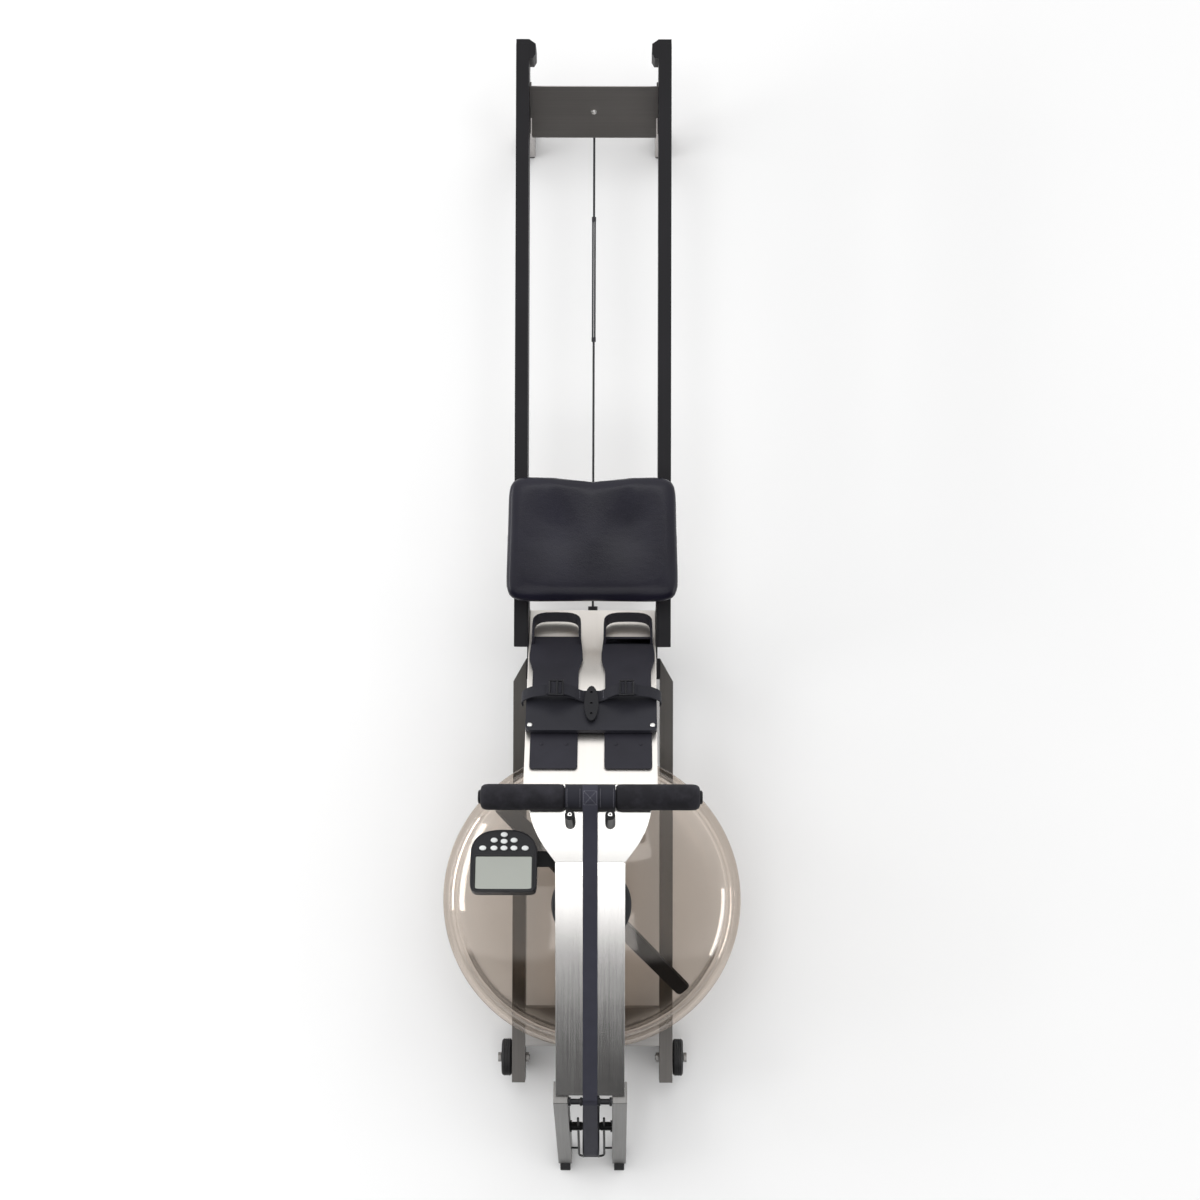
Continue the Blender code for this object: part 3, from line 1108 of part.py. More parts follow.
def make_monitor():
    """A sloping case on an arm beside the deck, with a window and nine soft buttons in pockets."""
    frame = monitor_frame()
    case = baked(profile_z("monitor_case", [monitor_outline()], -MONITOR_THICK, 0, BLACK_PLASTIC, frame))
    pockets = []
    for x, y in BUTTON_PLACES:
        hole = oval(BUTTON_SIZE[0] + 2 * RUN_FIT, BUTTON_SIZE[1] + 2 * RUN_FIT, x, y)
        pockets.append(profile_z("pocket", [hole], -BUTTON_DEPTH - 0.0016, 0.004, BLACK_PLASTIC, frame))
    clear = 2 * RUN_FIT
    window = rectangle(LENS_SIZE[0] + clear, LENS_SIZE[1] + clear, 0, LENS_CENTRE_Y)
    pockets.append(profile_z("pocket", [window], -LENS_THICK - 0.0008, 0.004, BLACK_PLASTIC, frame))
    bpy.context.view_layer.update()
    cut(case, as_cutter(cutter_group("monitor_pockets", pockets, BLACK_PLASTIC)))
    lens = rounded(rectangle(*LENS_SIZE, 0, LENS_CENTRE_Y), 0.002, 2)
    profile_z("monitor_lens", [lens], -LENS_THICK - 0.0005, -0.0005, LCD_GLASS, frame)
    for i, (x, y) in enumerate(BUTTON_PLACES):
        key = [(0, BUTTON_PROUD), (0.0042, BUTTON_PROUD), (0.0054, BUTTON_PROUD - 0.0005),
               (0.0060, BUTTON_PROUD - 0.0012), (0.0060, -BUTTON_DEPTH), (0, -BUTTON_DEPTH)]
        button = turned("button_%d" % (i + 1), key, KEY_WHITE, (x, y, 0), steps=12, parent=frame)
        squeeze = BUTTON_SIZE[1] / BUTTON_SIZE[0]
        button.scale = (1, squeeze, 1)


def make_monitor_bracket():
    """A bent flat arm from the side of the deck's support to under the monitor's case."""
    under = MONITOR_AT[2] - MONITOR_THICK / cos(MONITOR_TILT)
    y = MONITOR_AT[1] - 0.002
    inner = -SPINE_HALF_WIDTH - GAP
    z = under - 0.012
    slope_drop = 0.014 * tan(MONITOR_TILT)
    arm = [(inner, z + 0.010), (inner - 0.004, z + 0.010), (inner - 0.004, z), (MONITOR_AT[0] - 0.016, z),
           (MONITOR_AT[0] - 0.016, z - 0.004), (inner, z - 0.004)]
    pieces = [profile_y("arm", [arm], y - 0.014, y + 0.014, BLACK_METAL)]
    post = [(y - 0.014, z - 0.002), (y + 0.014, z - 0.002), (y + 0.014, under - slope_drop - 0.0013),
            (y - 0.014, under + slope_drop - 0.0013)]
    pieces.append(profile_x("post", [post], MONITOR_AT[0], 0.028, BLACK_METAL))
    welded("monitor_bracket", pieces)


# ---- transport wheels ----------------------------------------------------------------------------
def make_wheels():
    """Rubber transport wheels outside the beams."""
    for side, name in zip(SIDES, ("wheel_left", "wheel_right")):
        x = side * (BEAM_OUTER_X + WHEEL_SIDE_GAP + WHEEL_WIDTH / 2)
        w, r, bore = WHEEL_WIDTH / 2, WHEEL_RADIUS, WHEEL_BOLT_RADIUS + RUN_FIT
        tyre = [(r - 0.003, w), (r, w - 0.003), (r, 0.003 - w), (r - 0.003, -w), (0.022, -w), (0.020, 0.002 - w),
                (0.011, 0.002 - w), (0.010, -w - 0.001), (bore, -w - 0.001), (bore, w + 0.001), (0.010, w + 0.001),
                (0.011, w - 0.002), (0.020, w - 0.002), (0.022, w)]
        turned(name, tyre, RUBBER, (x, WHEEL_Y, WHEEL_Z), TO_X, 24, ring=True)


def make_wheel_bolts():
    """Bolts through the beams that carry the wheels, each with its hexagon head outside and its nut inside."""
    head_x = BEAM_OUTER_X + WHEEL_SIDE_GAP + WHEEL_WIDTH + 0.0015
    length = head_x - BEAM_INNER_X + 0.010
    for side, name in zip(SIDES, ("wheel_bolt_left", "wheel_bolt_right")):
        at = (side * (head_x + 0.002 - length / 2), WHEEL_Y, WHEEL_Z)
        pieces = [rod("shank", WHEEL_BOLT_RADIUS, -length / 2, length / 2, STEEL, at, TO_X, 12)]
        for x in (head_x + BOLT_HEAD / 2, BEAM_INNER_X - GAP - BOLT_HEAD / 2):
            pieces.append(profile_x("hex", [hexagon(0.016, WHEEL_Y, WHEEL_Z)], side * x, BOLT_HEAD, STEEL))
        welded(name, pieces)


# ---- return cord ---------------------------------------------------------------------------------
def make_cord(middle, pitch):
    """The elastic return cord, from the spool under the drum, below the footboard, to the hook at the rear."""
    lead = Vector((0, *FAIRLEAD))
    spool = Vector((-0.0235, TANK_Y + 0.012, SPOOL_Z))
    out = Vector((0, sin(pitch) * -1, cos(pitch)))
    anchor = Vector((0, *middle)) - out * (SHEET + 0.010)
    up_plate = Vector((0, cos(pitch), sin(pitch)))
    tail = Vector((0, *REAR_PLATE_BOTTOM)) - out * (SHEET + 0.006) - up_plate * 0.004

    def along(y):
        share = (y - lead.y) / (tail.y - lead.y)
        return lead.lerp(tail, share)

    front = [spool, lead, along(DOUBLE_FRONT_Y)]
    rear = [along(DOUBLE_REAR_Y), tail, anchor]
    pieces = [wire("front", [front], CORD_RADIUS, RUBBER), wire("rear", [rear], CORD_RADIUS, RUBBER)]
    ends = (along(DOUBLE_FRONT_Y), along(DOUBLE_REAR_Y))
    inside = Vector((0, 0.0013, 0))
    for side in SIDES:
        shift = Vector((side * (STRAND_RADIUS + GAP), 0, 0))
        route = [ends[0] + shift - inside, ends[1] + shift + inside]
        pieces.append(wire("strand", [route], STRAND_RADIUS, RUBBER))
    for end, way in zip(ends, (1, -1)):
        ferrule = rounded(rectangle(FERRULE, FERRULE), FERRULE / 4, 2)
        centre = end + Vector((0, way * 0.001, 0))
        pieces.append(extruded("ferrule", [ferrule], FERRULE, BLACK_METAL, centre, ALONG_Y))
    pieces.append(extruded("fairlead", [oval(0.018, 0.016)], FAIRLEAD_LENGTH, BLACK_PLASTIC, lead, ALONG_Y))
    frame = Matrix.Translation(Vector((0, *middle))) @ Matrix.Rotation(pitch, 4, "X")
    hook = [(0, 0, -SHEET - 0.0105), (0, 0, 0.0035), (0.0012, 0.0015, 0.006), (0.0042, 0.006, 0.0064)]
    prong = [(0.0003, 0.0003, 0.0030), (-0.0020, 0.0020, 0.0052), (-0.0050, 0.0060, 0.0060)]
    for route in (hook, prong):
        pieces.append(wire("hook", [[frame @ Vector(p) for p in route]], HOOK_WIRE, STEEL))
    welded("shock_cord", pieces)


# ---- build ---------------------------------------------------------------------------------------
make_rails()
PLATE_MIDDLE, PLATE_PITCH = make_rear_stand()
make_beams()
make_base_members()
make_rail_carrier()
make_footboard()
make_deck()
make_spine()
make_front_legs()
make_front_feet()
make_belt_run()
belt_layer("belt_middle_low", 1)
belt_layer("belt_middle_high", 2)
make_pulleys()
make_drum()
make_axle_and_guide()
make_tank()
make_seat()
make_handle()
make_pegs()
BOARD = board_frame()
make_foot_plates(BOARD)
make_heels(BOARD)
BAR_TOP = make_crossbar(BOARD)
make_strap(BOARD, BAR_TOP)
make_clasp(BOARD, BAR_TOP)
make_monitor()
make_monitor_bracket()
make_wheels()
make_wheel_bolts()
make_cord(PLATE_MIDDLE, PLATE_PITCH)
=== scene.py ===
import json
from math import atan2, cos, pi, radians, sin

import bmesh
import bpy
import numpy as np
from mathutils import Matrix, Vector

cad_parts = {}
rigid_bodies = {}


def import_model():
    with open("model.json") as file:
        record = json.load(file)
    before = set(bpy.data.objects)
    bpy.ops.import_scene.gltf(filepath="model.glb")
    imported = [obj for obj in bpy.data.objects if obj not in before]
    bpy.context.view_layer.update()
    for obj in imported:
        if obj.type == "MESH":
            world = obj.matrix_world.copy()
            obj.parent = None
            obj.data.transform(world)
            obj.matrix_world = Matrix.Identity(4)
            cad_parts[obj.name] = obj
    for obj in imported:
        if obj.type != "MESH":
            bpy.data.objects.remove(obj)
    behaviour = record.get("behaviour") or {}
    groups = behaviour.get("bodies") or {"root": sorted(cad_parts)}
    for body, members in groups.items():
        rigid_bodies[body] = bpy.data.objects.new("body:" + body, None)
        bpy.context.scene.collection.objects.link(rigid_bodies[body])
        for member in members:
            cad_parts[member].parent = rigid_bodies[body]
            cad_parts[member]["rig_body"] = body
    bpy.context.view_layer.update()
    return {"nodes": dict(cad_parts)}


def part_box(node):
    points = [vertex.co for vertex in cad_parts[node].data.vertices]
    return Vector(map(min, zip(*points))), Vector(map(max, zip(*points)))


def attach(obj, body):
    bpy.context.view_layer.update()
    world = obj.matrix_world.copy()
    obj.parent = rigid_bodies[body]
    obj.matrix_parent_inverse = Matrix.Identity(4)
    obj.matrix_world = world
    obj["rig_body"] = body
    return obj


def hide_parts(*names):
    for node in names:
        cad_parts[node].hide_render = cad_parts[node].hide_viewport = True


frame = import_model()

nodes = frame["nodes"]
SIDES = (-1, 1)


# ---- Studio -------------------------------------------------------------------------------------------
# A pale floor between pale walls, in a room that is dark at its front end and right above the machine. The
# lights hang round that dark patch, and a camera high above the seat looks almost straight down.
floor_mesh = bpy.data.meshes.new("floor")
floor_mesh.from_pydata([(-9, -9, 0), (9, -9, 0), (9, 9, 0), (-9, 9, 0)], [], [(0, 1, 2, 3)])
floor = bpy.data.objects.new("floor", floor_mesh)
bpy.context.scene.collection.objects.link(floor)
paper = bpy.data.materials.new("floor_paper")
paper.use_nodes = True
paper.node_tree.nodes["Principled BSDF"].inputs["Base Color"].default_value = (0.93, 0.93, 0.93, 1)
paper.node_tree.nodes["Principled BSDF"].inputs["Roughness"].default_value = 0.9
floor_mesh.materials.append(paper)

SKY_STRENGTH = 1.05
world = bpy.data.worlds.new("studio")
world.use_nodes = True
bpy.context.scene.world = world
sky = world.node_tree
direction = sky.nodes.new("ShaderNodeTexCoord")
split = sky.nodes.new("ShaderNodeSeparateXYZ")
sky.links.new(direction.outputs["Generated"], split.inputs[0])
lengthwise = sky.nodes.new("ShaderNodeMapRange")
lengthwise.inputs["From Min"].default_value = -1
sky.links.new(split.outputs["Y"], lengthwise.inputs["Value"])
walls = sky.nodes.new("ShaderNodeValToRGB")
WALL_LEVELS = ((0.255, 0.02), (0.285, 0.80), (0.60, 0.90), (0.90, 1.30))
for position, level in WALL_LEVELS[2:]:
    walls.color_ramp.elements.new(position)
for stop, (position, level) in zip(walls.color_ramp.elements, WALL_LEVELS):
    stop.position = position
    stop.color = (level, level, level, 1)
sky.links.new(lengthwise.outputs["Result"], walls.inputs["Fac"])
ceiling = sky.nodes.new("ShaderNodeMapRange")
ceiling.interpolation_type = "SMOOTHSTEP"
for socket, value in {"From Min": 0.93, "From Max": 0.985, "To Min": 1.0, "To Max": 0.16}.items():
    ceiling.inputs[socket].default_value = value
sky.links.new(split.outputs["Z"], ceiling.inputs["Value"])
shade = sky.nodes.new("ShaderNodeVectorMath")
shade.operation = "SCALE"
sky.links.new(walls.outputs["Color"], shade.inputs[0])
sky.links.new(ceiling.outputs["Result"], shade.inputs["Scale"])
sky.links.new(shade.outputs["Vector"], sky.nodes["Background"].inputs["Color"])
sky.nodes["Background"].inputs["Strength"].default_value = SKY_STRENGTH


def softbox(name, place, target, width, depth, glow):
    """A rectangular area light aimed at a point. glow is its brightness, in white floors."""
    lamp = bpy.data.lights.new(name, "AREA")
    lamp.shape = "RECTANGLE"
    lamp.size = width
    lamp.size_y = depth
    lamp.energy = glow * pi * width * depth
    light = bpy.data.objects.new(name, lamp)
    light.location = place
    light.rotation_euler = (Vector(target) - Vector(place)).to_track_quat("-Z", "Y").to_euler()
    bpy.context.scene.collection.objects.link(light)


softbox("over_feet", (0.1, 1.52, 4.3), (0.1, 1.53, 0), 3.4, 2.2, 1.8)
softbox("over_front", (0.0, -1.93, 4.3), (0.0, -1.94, 0), 3.0, 1.30, 1.9)
softbox("left", (-4.0, 0.2, 1.5), (0, -0.4, 0.3), 3.0, 0.8, 9.0)
softbox("right", (4.0, -1.6, 1.3), (0, -0.4, 0.3), 2.2, 0.4, 7.0)

CAMERA_AT = (0.045, -0.0909, 4.354)
CAMERA_TILT = radians(1.678)
CAMERA_ROLL = radians(0.14)
lens = bpy.data.cameras.new("camera")
lens.lens = 66.85
lens.sensor_width = 36
lens.shift_x = -0.01397
camera = bpy.data.objects.new("camera", lens)
camera.location = CAMERA_AT
camera.rotation_euler = (CAMERA_TILT, 0, CAMERA_ROLL)
bpy.context.scene.collection.objects.link(camera)
bpy.context.scene.camera = camera
bpy.context.scene.view_settings.view_transform = "Standard"


# ---- Rails --------------------------------------------------------------------------------------------
# Two steel box sections, powder coated black with a fine orange peel, each closed behind by a moulded cap
# whose lug stops the seat.
class Amount:
    """A number inside a material: each operator on it adds the Math node that works the result out."""

    def __init__(self, finish, socket):
        self.finish = finish
        self.socket = socket

    def math(self, operation, *values):
        return self.finish.node("ShaderNodeMath", {"operation": operation}, dict(enumerate(values)))

    def __add__(self, other):
        return self.math("ADD", self, other)

    def __sub__(self, other):
        return self.math("SUBTRACT", self, other)

    def __rsub__(self, other):
        return self.math("SUBTRACT", other, self)

    def __mul__(self, other):
        return self.math("MULTIPLY", self, other)

    __radd__ = __add__
    __rmul__ = __mul__

    def sine(self):
        return self.math("SINE", self)

    def clamped(self, low=0.0, high=1.0):
        return self.math("MINIMUM", self.math("MAXIMUM", self, low), high)


class Finish:
    """A material while it is mixed. Plain values go on the shader's sockets; nodes carry what varies."""

    def __init__(self, name, colour, roughness, metallic=0.0, **plain):
        self.material = bpy.data.materials.new(name)
        self.material.use_nodes = True
        self.tree = self.material.node_tree
        self.shader = self.tree.nodes["Principled BSDF"]
        self.colour = colour
        self.set("Base Color", (*colour, 1))
        self.set("Roughness", roughness)
        self.set("Metallic", metallic)
        for socket, value in plain.items():
            self.set(socket.replace("_", " ").title().replace("Ior", "IOR"), value)
        self.place = self.node("ShaderNodeTexCoord", output="Object")

    def set(self, socket, value):
        self.join(self.shader.inputs[socket], value)

    def join(self, socket, value):
        if isinstance(value, Amount):
            self.tree.links.new(value.socket, socket)
        else:
            socket.default_value = value

    def node(self, kind, settings=None, values=None, output=0):
        """Any node: its settings, then the values or links of its sockets."""
        made = self.tree.nodes.new(kind)
        for key, value in (settings or {}).items():
            setattr(made, key, value)
        for key, value in (values or {}).items():
            self.join(made.inputs[key], value)
        return Amount(self, made.outputs[output])

    def noise(self, scale, stretch=(1, 1, 1), detail=3.0, rough=0.5):
        """Cloudy noise from 0 to 1, with its cells drawn out by a stretch."""
        place = self.node("ShaderNodeMapping", values={"Vector": self.place, "Scale": stretch})
        values = {"Vector": place, "Scale": scale, "Detail": detail, "Roughness": rough}
        return self.node("ShaderNodeTexNoise", values=values)

    def along(self, direction):
        """Distance in metres along a direction."""
        values = {0: self.place, 1: direction}
        return self.node("ShaderNodeVectorMath", {"operation": "DOT_PRODUCT"}, values, output="Value")

    def tint(self, mask, colour):
        """Base colour turns to another one where the mask is 1. Sockets 6 and 7 are the two colours."""
        values = {0: mask, 6: (*self.colour, 1), 7: (*colour, 1)}
        self.set("Base Color", self.node("ShaderNodeMix", {"data_type": "RGBA"}, values, output=2))

    def relief(self, height, depth):
        """Height from 0 to 1 as a bump that deep, in metres."""
        values = {"Height": height, "Distance": depth, "Strength": 1.0}
        self.set("Normal", self.node("ShaderNodeBump", values=values))


def powder_coat(name, colour, roughness=0.42):
    """Baked powder: fine orange peel, and a faint cloudiness in its gloss."""
    finish = Finish(name, colour, roughness, 0.0, specular_ior_level=0.15)
    peel = finish.noise(900, detail=2)
    cloud = finish.noise(9, detail=4)
    finish.relief(peel, 0.00006)
    finish.set("Roughness", roughness - 0.10 + 0.20 * cloud)
    finish.tint((cloud * 2 - 0.6).clamped(), tuple(c * 1.7 for c in colour))
    return finish.material


def moulded(name, colour, roughness=0.5, grain=1400):
    """Moulded plastic with a spark-eroded texture."""
    finish = Finish(name, colour, roughness, 0.0, specular_ior_level=0.22)
    texture = finish.noise(grain, detail=1)
    cloud = finish.noise(14, detail=3)
    finish.relief(texture, 0.00004)
    finish.set("Roughness", roughness - 0.08 + 0.16 * cloud)
    finish.tint((cloud * 2 - 0.7).clamped(), tuple(min(1, c * 1.5) for c in colour))
    return finish.material


def shown(piece, body, *replaced):
    """Puts a finished piece in the scene, riding on its body in place of its CAD nodes."""
    if piece.name not in bpy.context.scene.collection.objects:
        bpy.context.scene.collection.objects.link(piece)
    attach(piece, body)
    if replaced:
        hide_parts(*replaced)
    return piece


def softened(node, radius, materials, zone=None, segments=2, angle=28):
    """A CAD node with its edges rounded: a merged copy, its flats dissolved, under a Bevel.

    zone gives each face's material as a number from the array of face centres.
    """
    mesh = nodes[node].data.copy()
    mesh.name = node + "_finished"
    shape = bmesh.new()
    shape.from_mesh(mesh)
    bmesh.ops.remove_doubles(shape, verts=shape.verts, dist=2e-6)
    bmesh.ops.dissolve_limit(shape, angle_limit=radians(0.6), verts=shape.verts, edges=shape.edges)
    shape.to_mesh(mesh)
    shape.free()
    for layer in ("custom_normal", "sharp_edge", "sharp_face"):
        if layer in mesh.attributes:
            mesh.attributes.remove(mesh.attributes[layer])
    mesh.materials.clear()
    for material in materials:
        mesh.materials.append(material)
    index = np.zeros(len(mesh.polygons), np.int32)
    if zone:
        centres = np.zeros(len(mesh.polygons) * 3)
        mesh.polygons.foreach_get("center", centres)
        index = zone(centres.reshape(-1, 3)).astype(np.int32)
    mesh.polygons.foreach_set("material_index", index)
    mesh.polygons.foreach_set("use_smooth", np.ones(len(mesh.polygons), bool))
    piece = bpy.data.objects.new(node + "_finished", mesh)
    edge = piece.modifiers.new("edges", "BEVEL")
    edge.width = radius
    edge.segments = segments
    edge.limit_method = "ANGLE"
    edge.angle_limit = radians(angle)
    edge.harden_normals = True
    return shown(piece, nodes[node]["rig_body"], node)


RAIL_END_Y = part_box("rail_left")[1].y
CAP_SHOW = 0.0088
rail_coat = powder_coat("rail_coat", (0.0085, 0.0080, 0.0095), 0.46)
cap_plastic = moulded("cap_plastic", (0.034, 0.038, 0.034))
for node in ("rail_left", "rail_right"):
    softened(node, 0.0011, [rail_coat, cap_plastic], lambda c: c[:, 1] > RAIL_END_Y - CAP_SHOW)


# ---- Rear stand ---------------------------------------------------------------------------------------
# Two steel legs on rubber feet under the rails, welded to a slanted brushed plate. The plate's grain runs
# from rail to rail.
def brushed_steel(name, colour, grain=(900, 10, 10), roughness=0.26, depth=0.00003, cloud_to=0.72):
    """Steel finished with an abrasive belt: long fine scratches, and faint hand marks in the gloss."""
    finish = Finish(name, colour, roughness, 1.0)
    scratch = finish.noise(1, grain, detail=4, rough=0.65)
    band = finish.noise(0.22, grain, detail=2)
    cloud = finish.noise(5, detail=4)
    finish.relief(scratch, depth)
    finish.set("Roughness", roughness - 0.07 + 0.14 * scratch + 0.10 * cloud)
    finish.tint((band * 0.5 + scratch * 0.6 - 0.25).clamped(), tuple(c * cloud_to for c in colour))
    return finish.material


def rubber(name, colour=(0.017, 0.017, 0.018), roughness=0.78):
    """Moulded rubber: matt, dusty in places, with a fine grain."""
    finish = Finish(name, colour, roughness)
    dust = finish.noise(60, detail=5, rough=0.6)
    finish.relief(finish.noise(2200, detail=2), 0.00005)
    finish.tint((dust * 2.2 - 0.9).clamped(), tuple(c * 2.1 for c in colour))
    finish.set("Roughness", roughness - 0.10 + 0.2 * dust)
    return finish.material


ACROSS_GRAIN = (10, 900, 900)
plate_steel = brushed_steel("plate_steel", (0.46, 0.435, 0.42), ACROSS_GRAIN, 0.34)
foot_rubber = rubber("foot_rubber")
REAR_FOOT_TOP = 0.0125
softened("rear_stand", 0.0010, [plate_steel, foot_rubber], lambda c: c[:, 2] < REAR_FOOT_TOP, angle=6)


# ---- Base frame ---------------------------------------------------------------------------------------
# Brushed box beams either side of the tank, a flat tube across the front with ties to the legs, and the
# black rail carrier at the back whose thin plates the rails are bolted to.
beam_steel = brushed_steel("beam_steel", (0.125, 0.118, 0.112), (900, 8, 900), 0.33)
for node in ("side_beam_left", "side_beam_right"):
    softened(node, 0.0016, [beam_steel])
softened("front_tie_frame", 0.001, [brushed_steel("tie_steel", (0.34, 0.33, 0.32), ACROSS_GRAIN, 0.36)])
softened("rail_carrier", 0.0008, [powder_coat("carrier_coat", (0.018, 0.017, 0.019))])


# ---- Footboard, deck, spine and front legs ------------------------------------------------------------
# One bent strip of bright brushed stainless steel: channel sections with their flanges down, welded end to
# end. The deck tapers to the spine and ends in a thin tongue that lies on it.
BOARD_FOOT = np.array([0.012, 0.200])
BOARD_PITCH = atan2(0.280, 0.309)
board_steel = brushed_steel("board_steel", (0.90, 0.865, 0.82), (900, 5, 5), 0.33, 0.000015, cloud_to=0.92)
deck_steel = brushed_steel("deck_steel", (0.90, 0.885, 0.86), (900, 5, 5), 0.12, 0.00001, cloud_to=0.93)
# Painted shade: the spine and the front legs take darker copies of the board's and deck's steel, standing in
# for the dimmer light they reflect.
spine_steel_painted_shade = brushed_steel("spine_steel_painted_shade", (0.74, 0.725, 0.71), (900, 5, 5), 0.11, 0.000015, cloud_to=0.85)
leg_steel_painted_shade = brushed_steel("leg_steel_painted_shade", (0.20, 0.196, 0.19), (900, 7, 7), 0.36)
softened("footboard", 0.0012, [board_steel], angle=6)
softened("top_deck", 0.0007, [deck_steel], angle=6)
softened("spine", 0.0010, [spine_steel_painted_shade], angle=6)
for node in ("front_leg_left", "front_leg_right"):
    softened(node, 0.0014, [leg_steel_painted_shade])
for node in ("front_foot_left", "front_foot_right"):
    softened(node, 0.0016, [foot_rubber], segments=3)


# ---- Belt ---------------------------------------------------------------------------------------------
# Woven polyester webbing, dark slate, ribbed across with a plain edge. It runs from the handle over the
# spine and the roller, round the front pulley and back to the drum, turning a quarter on its way.
BELT_SLOPE = atan2(0.080, 0.4155)


def webbing(name, lengthwise, across, colour=(0.027, 0.027, 0.038), rib=0.0016, thread=0.0011):
    """A twill of ribs across the strap and threads along it, from two sine waves of place."""
    finish = Finish(name, colour, 0.72, 0.0, sheen_weight=0.06, specular_ior_level=0.2)
    ribs = (finish.along(lengthwise) * (2 * pi / rib) + finish.along(across) * (pi / thread)).sine()
    threads = (finish.along(across) * (2 * pi / thread)).sine()
    weave = (ribs * 0.32 + threads * 0.18) + 0.5
    fuzz = finish.noise(1500, detail=2)
    finish.relief(weave + fuzz * 0.25, 0.00022)
    finish.tint((weave * 0.9 + finish.noise(40) * 0.5 - 0.45).clamped(), tuple(c * 2.1 for c in colour))
    return finish.material


belt_web = webbing("belt_webbing", (0, cos(BELT_SLOPE), sin(BELT_SLOPE)), (1, 0, 0))
drop_web = webbing("drop_webbing", (0, 0.45, 0.89), (1, 0, 0))
for node in ("belt_middle_low", "belt_middle_high"):
    softened(node, 0.0003, [belt_web], segments=1)
LEG_TOP_Y = -0.845
softened("belt_run", 0.0003, [belt_web, drop_web], lambda c: c[:, 1] < LEG_TOP_Y, segments=1, angle=60)


# ---- Rollers, pulley, axle and drum -------------------------------------------------------------------
# Turned black nylon, the roller in one with its spindle. The front pulley has a flange each side and a thin
# web, and a bent wire fixed to its axle keeps the belt on.
def eased(profile, radius, steps=4):
    """A line of (radius, height) points with each inner corner replaced by a short arc, point by point."""
    points = [np.array(profile[0], float)]
    for before, here, after in zip(profile, profile[1:], profile[2:]):
        before, here, after = (np.array(p, float) for p in (before, here, after))
        back, ahead = before - here, after - here
        reach = min(radius, 0.45 * np.hypot(*back), 0.45 * np.hypot(*ahead))
        start = here + back / np.hypot(*back) * reach
        end = here + ahead / np.hypot(*ahead) * reach
        for t in np.linspace(0, 1, steps + 1):
            points.append((1 - t) ** 2 * start + 2 * t * (1 - t) * here + t * t * end)
    points.append(np.array(profile[-1], float))
    return np.array(points)


def surface(name, grid, material, around=False, along=False, crease=32, uv=None):
    """A mesh of quads through a grid of points; its rows and its columns may each join up in a ring."""
    rows, columns = grid.shape[:2]
    index = np.arange(rows * columns).reshape(rows, columns)
    if around:
        index = np.hstack([index, index[:, :1]])
    if along:
        index = np.vstack([index, index[:1]])
    quads = np.stack([index[:-1, :-1], index[:-1, 1:], index[1:, 1:], index[1:, :-1]], -1).reshape(-1, 4)
    mesh = bpy.data.meshes.new(name)
    mesh.from_pydata(grid.reshape(-1, 3).tolist(), [], quads.tolist())
    if uv is not None:
        layer = mesh.uv_layers.new(name="UVMap")
        layer.data.foreach_set("uv", uv.reshape(-1, 2)[quads.reshape(-1)].reshape(-1))
    shape = bmesh.new()
    shape.from_mesh(mesh)
    bmesh.ops.remove_doubles(shape, verts=shape.verts, dist=1e-7)
    bmesh.ops.recalc_face_normals(shape, faces=shape.faces)
    shape.to_mesh(mesh)
    shape.free()
    mesh.materials.append(material)
    mesh.polygons.foreach_set("use_smooth", np.ones(len(mesh.polygons), bool))
    mesh.set_sharp_from_angle(angle=radians(crease))
    return bpy.data.objects.new(name, mesh)


def turned(name, profile, centre, axis, material, steps=96, ring=False):
    """A profile of (r, h) turned about an axis: centre + h axis + r (u cos a + v sin a)."""
    axis = np.array(axis, float) / np.linalg.norm(axis)
    u = np.cross(axis, (0.0, 0.0, 1.0) if abs(axis[2]) < 0.9 else (0.0, 1.0, 0.0))
    u /= np.linalg.norm(u)
    v = np.cross(axis, u)
    a = np.linspace(0, 2 * pi, steps, endpoint=False)
    circle = u * np.cos(a)[:, None] + v * np.sin(a)[:, None]
    r, h = np.array(profile).T
    grid = np.array(centre) + h[:, None, None] * axis + r[:, None, None] * circle
    return surface(name, grid, material, around=True, along=ring)


def tube(name, path, radius, material, columns=12):
    """A round tube: a circle of that radius carried along a path and square to it, closed at both ends."""
    path = np.array(path, float)
    tangent = np.gradient(path, axis=0)
    tangent /= np.linalg.norm(tangent, axis=1)[:, None]
    guide = np.array((1.0, 0.0, 0.0)) if abs(tangent[0][0]) < 0.8 else np.array((0.0, 0.0, 1.0))
    u = np.cross(tangent, guide)
    u /= np.linalg.norm(u, axis=1)[:, None]
    v = np.cross(tangent, u)
    a = np.linspace(0, 2 * pi, columns, endpoint=False)
    radii = np.broadcast_to(radius, len(path))[:, None, None]
    grid = path[:, None] + radii * (u[:, None] * np.cos(a)[:, None] + v[:, None] * np.sin(a)[:, None])
    ends = [np.repeat(path[i][None, None], columns, 1) for i in (0, -1)]
    return surface(name, np.concatenate([ends[0], grid, ends[1]]), material, around=True)


nylon = moulded("black_nylon", (0.014, 0.014, 0.016), 0.38, 900)
low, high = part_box("belt_roller")
ROLLER_AT = (low + high) / 2
roller_half = (high.x - low.x) / 2
spool = [(0, roller_half), (0.0078, roller_half), (0.0078, 0.0345), (0.0052, 0.0335), (0.0052, 0.0185),
         (0.0076, 0.0175), (0.0076, 0.0142), (0.0064, 0.0136)]
spool += [(r, -h) for r, h in reversed(spool)]
shown(turned("belt_roller_turned", eased(spool, 0.0006), ROLLER_AT, (1, 0, 0), nylon),
      "upper_roller", "belt_roller")

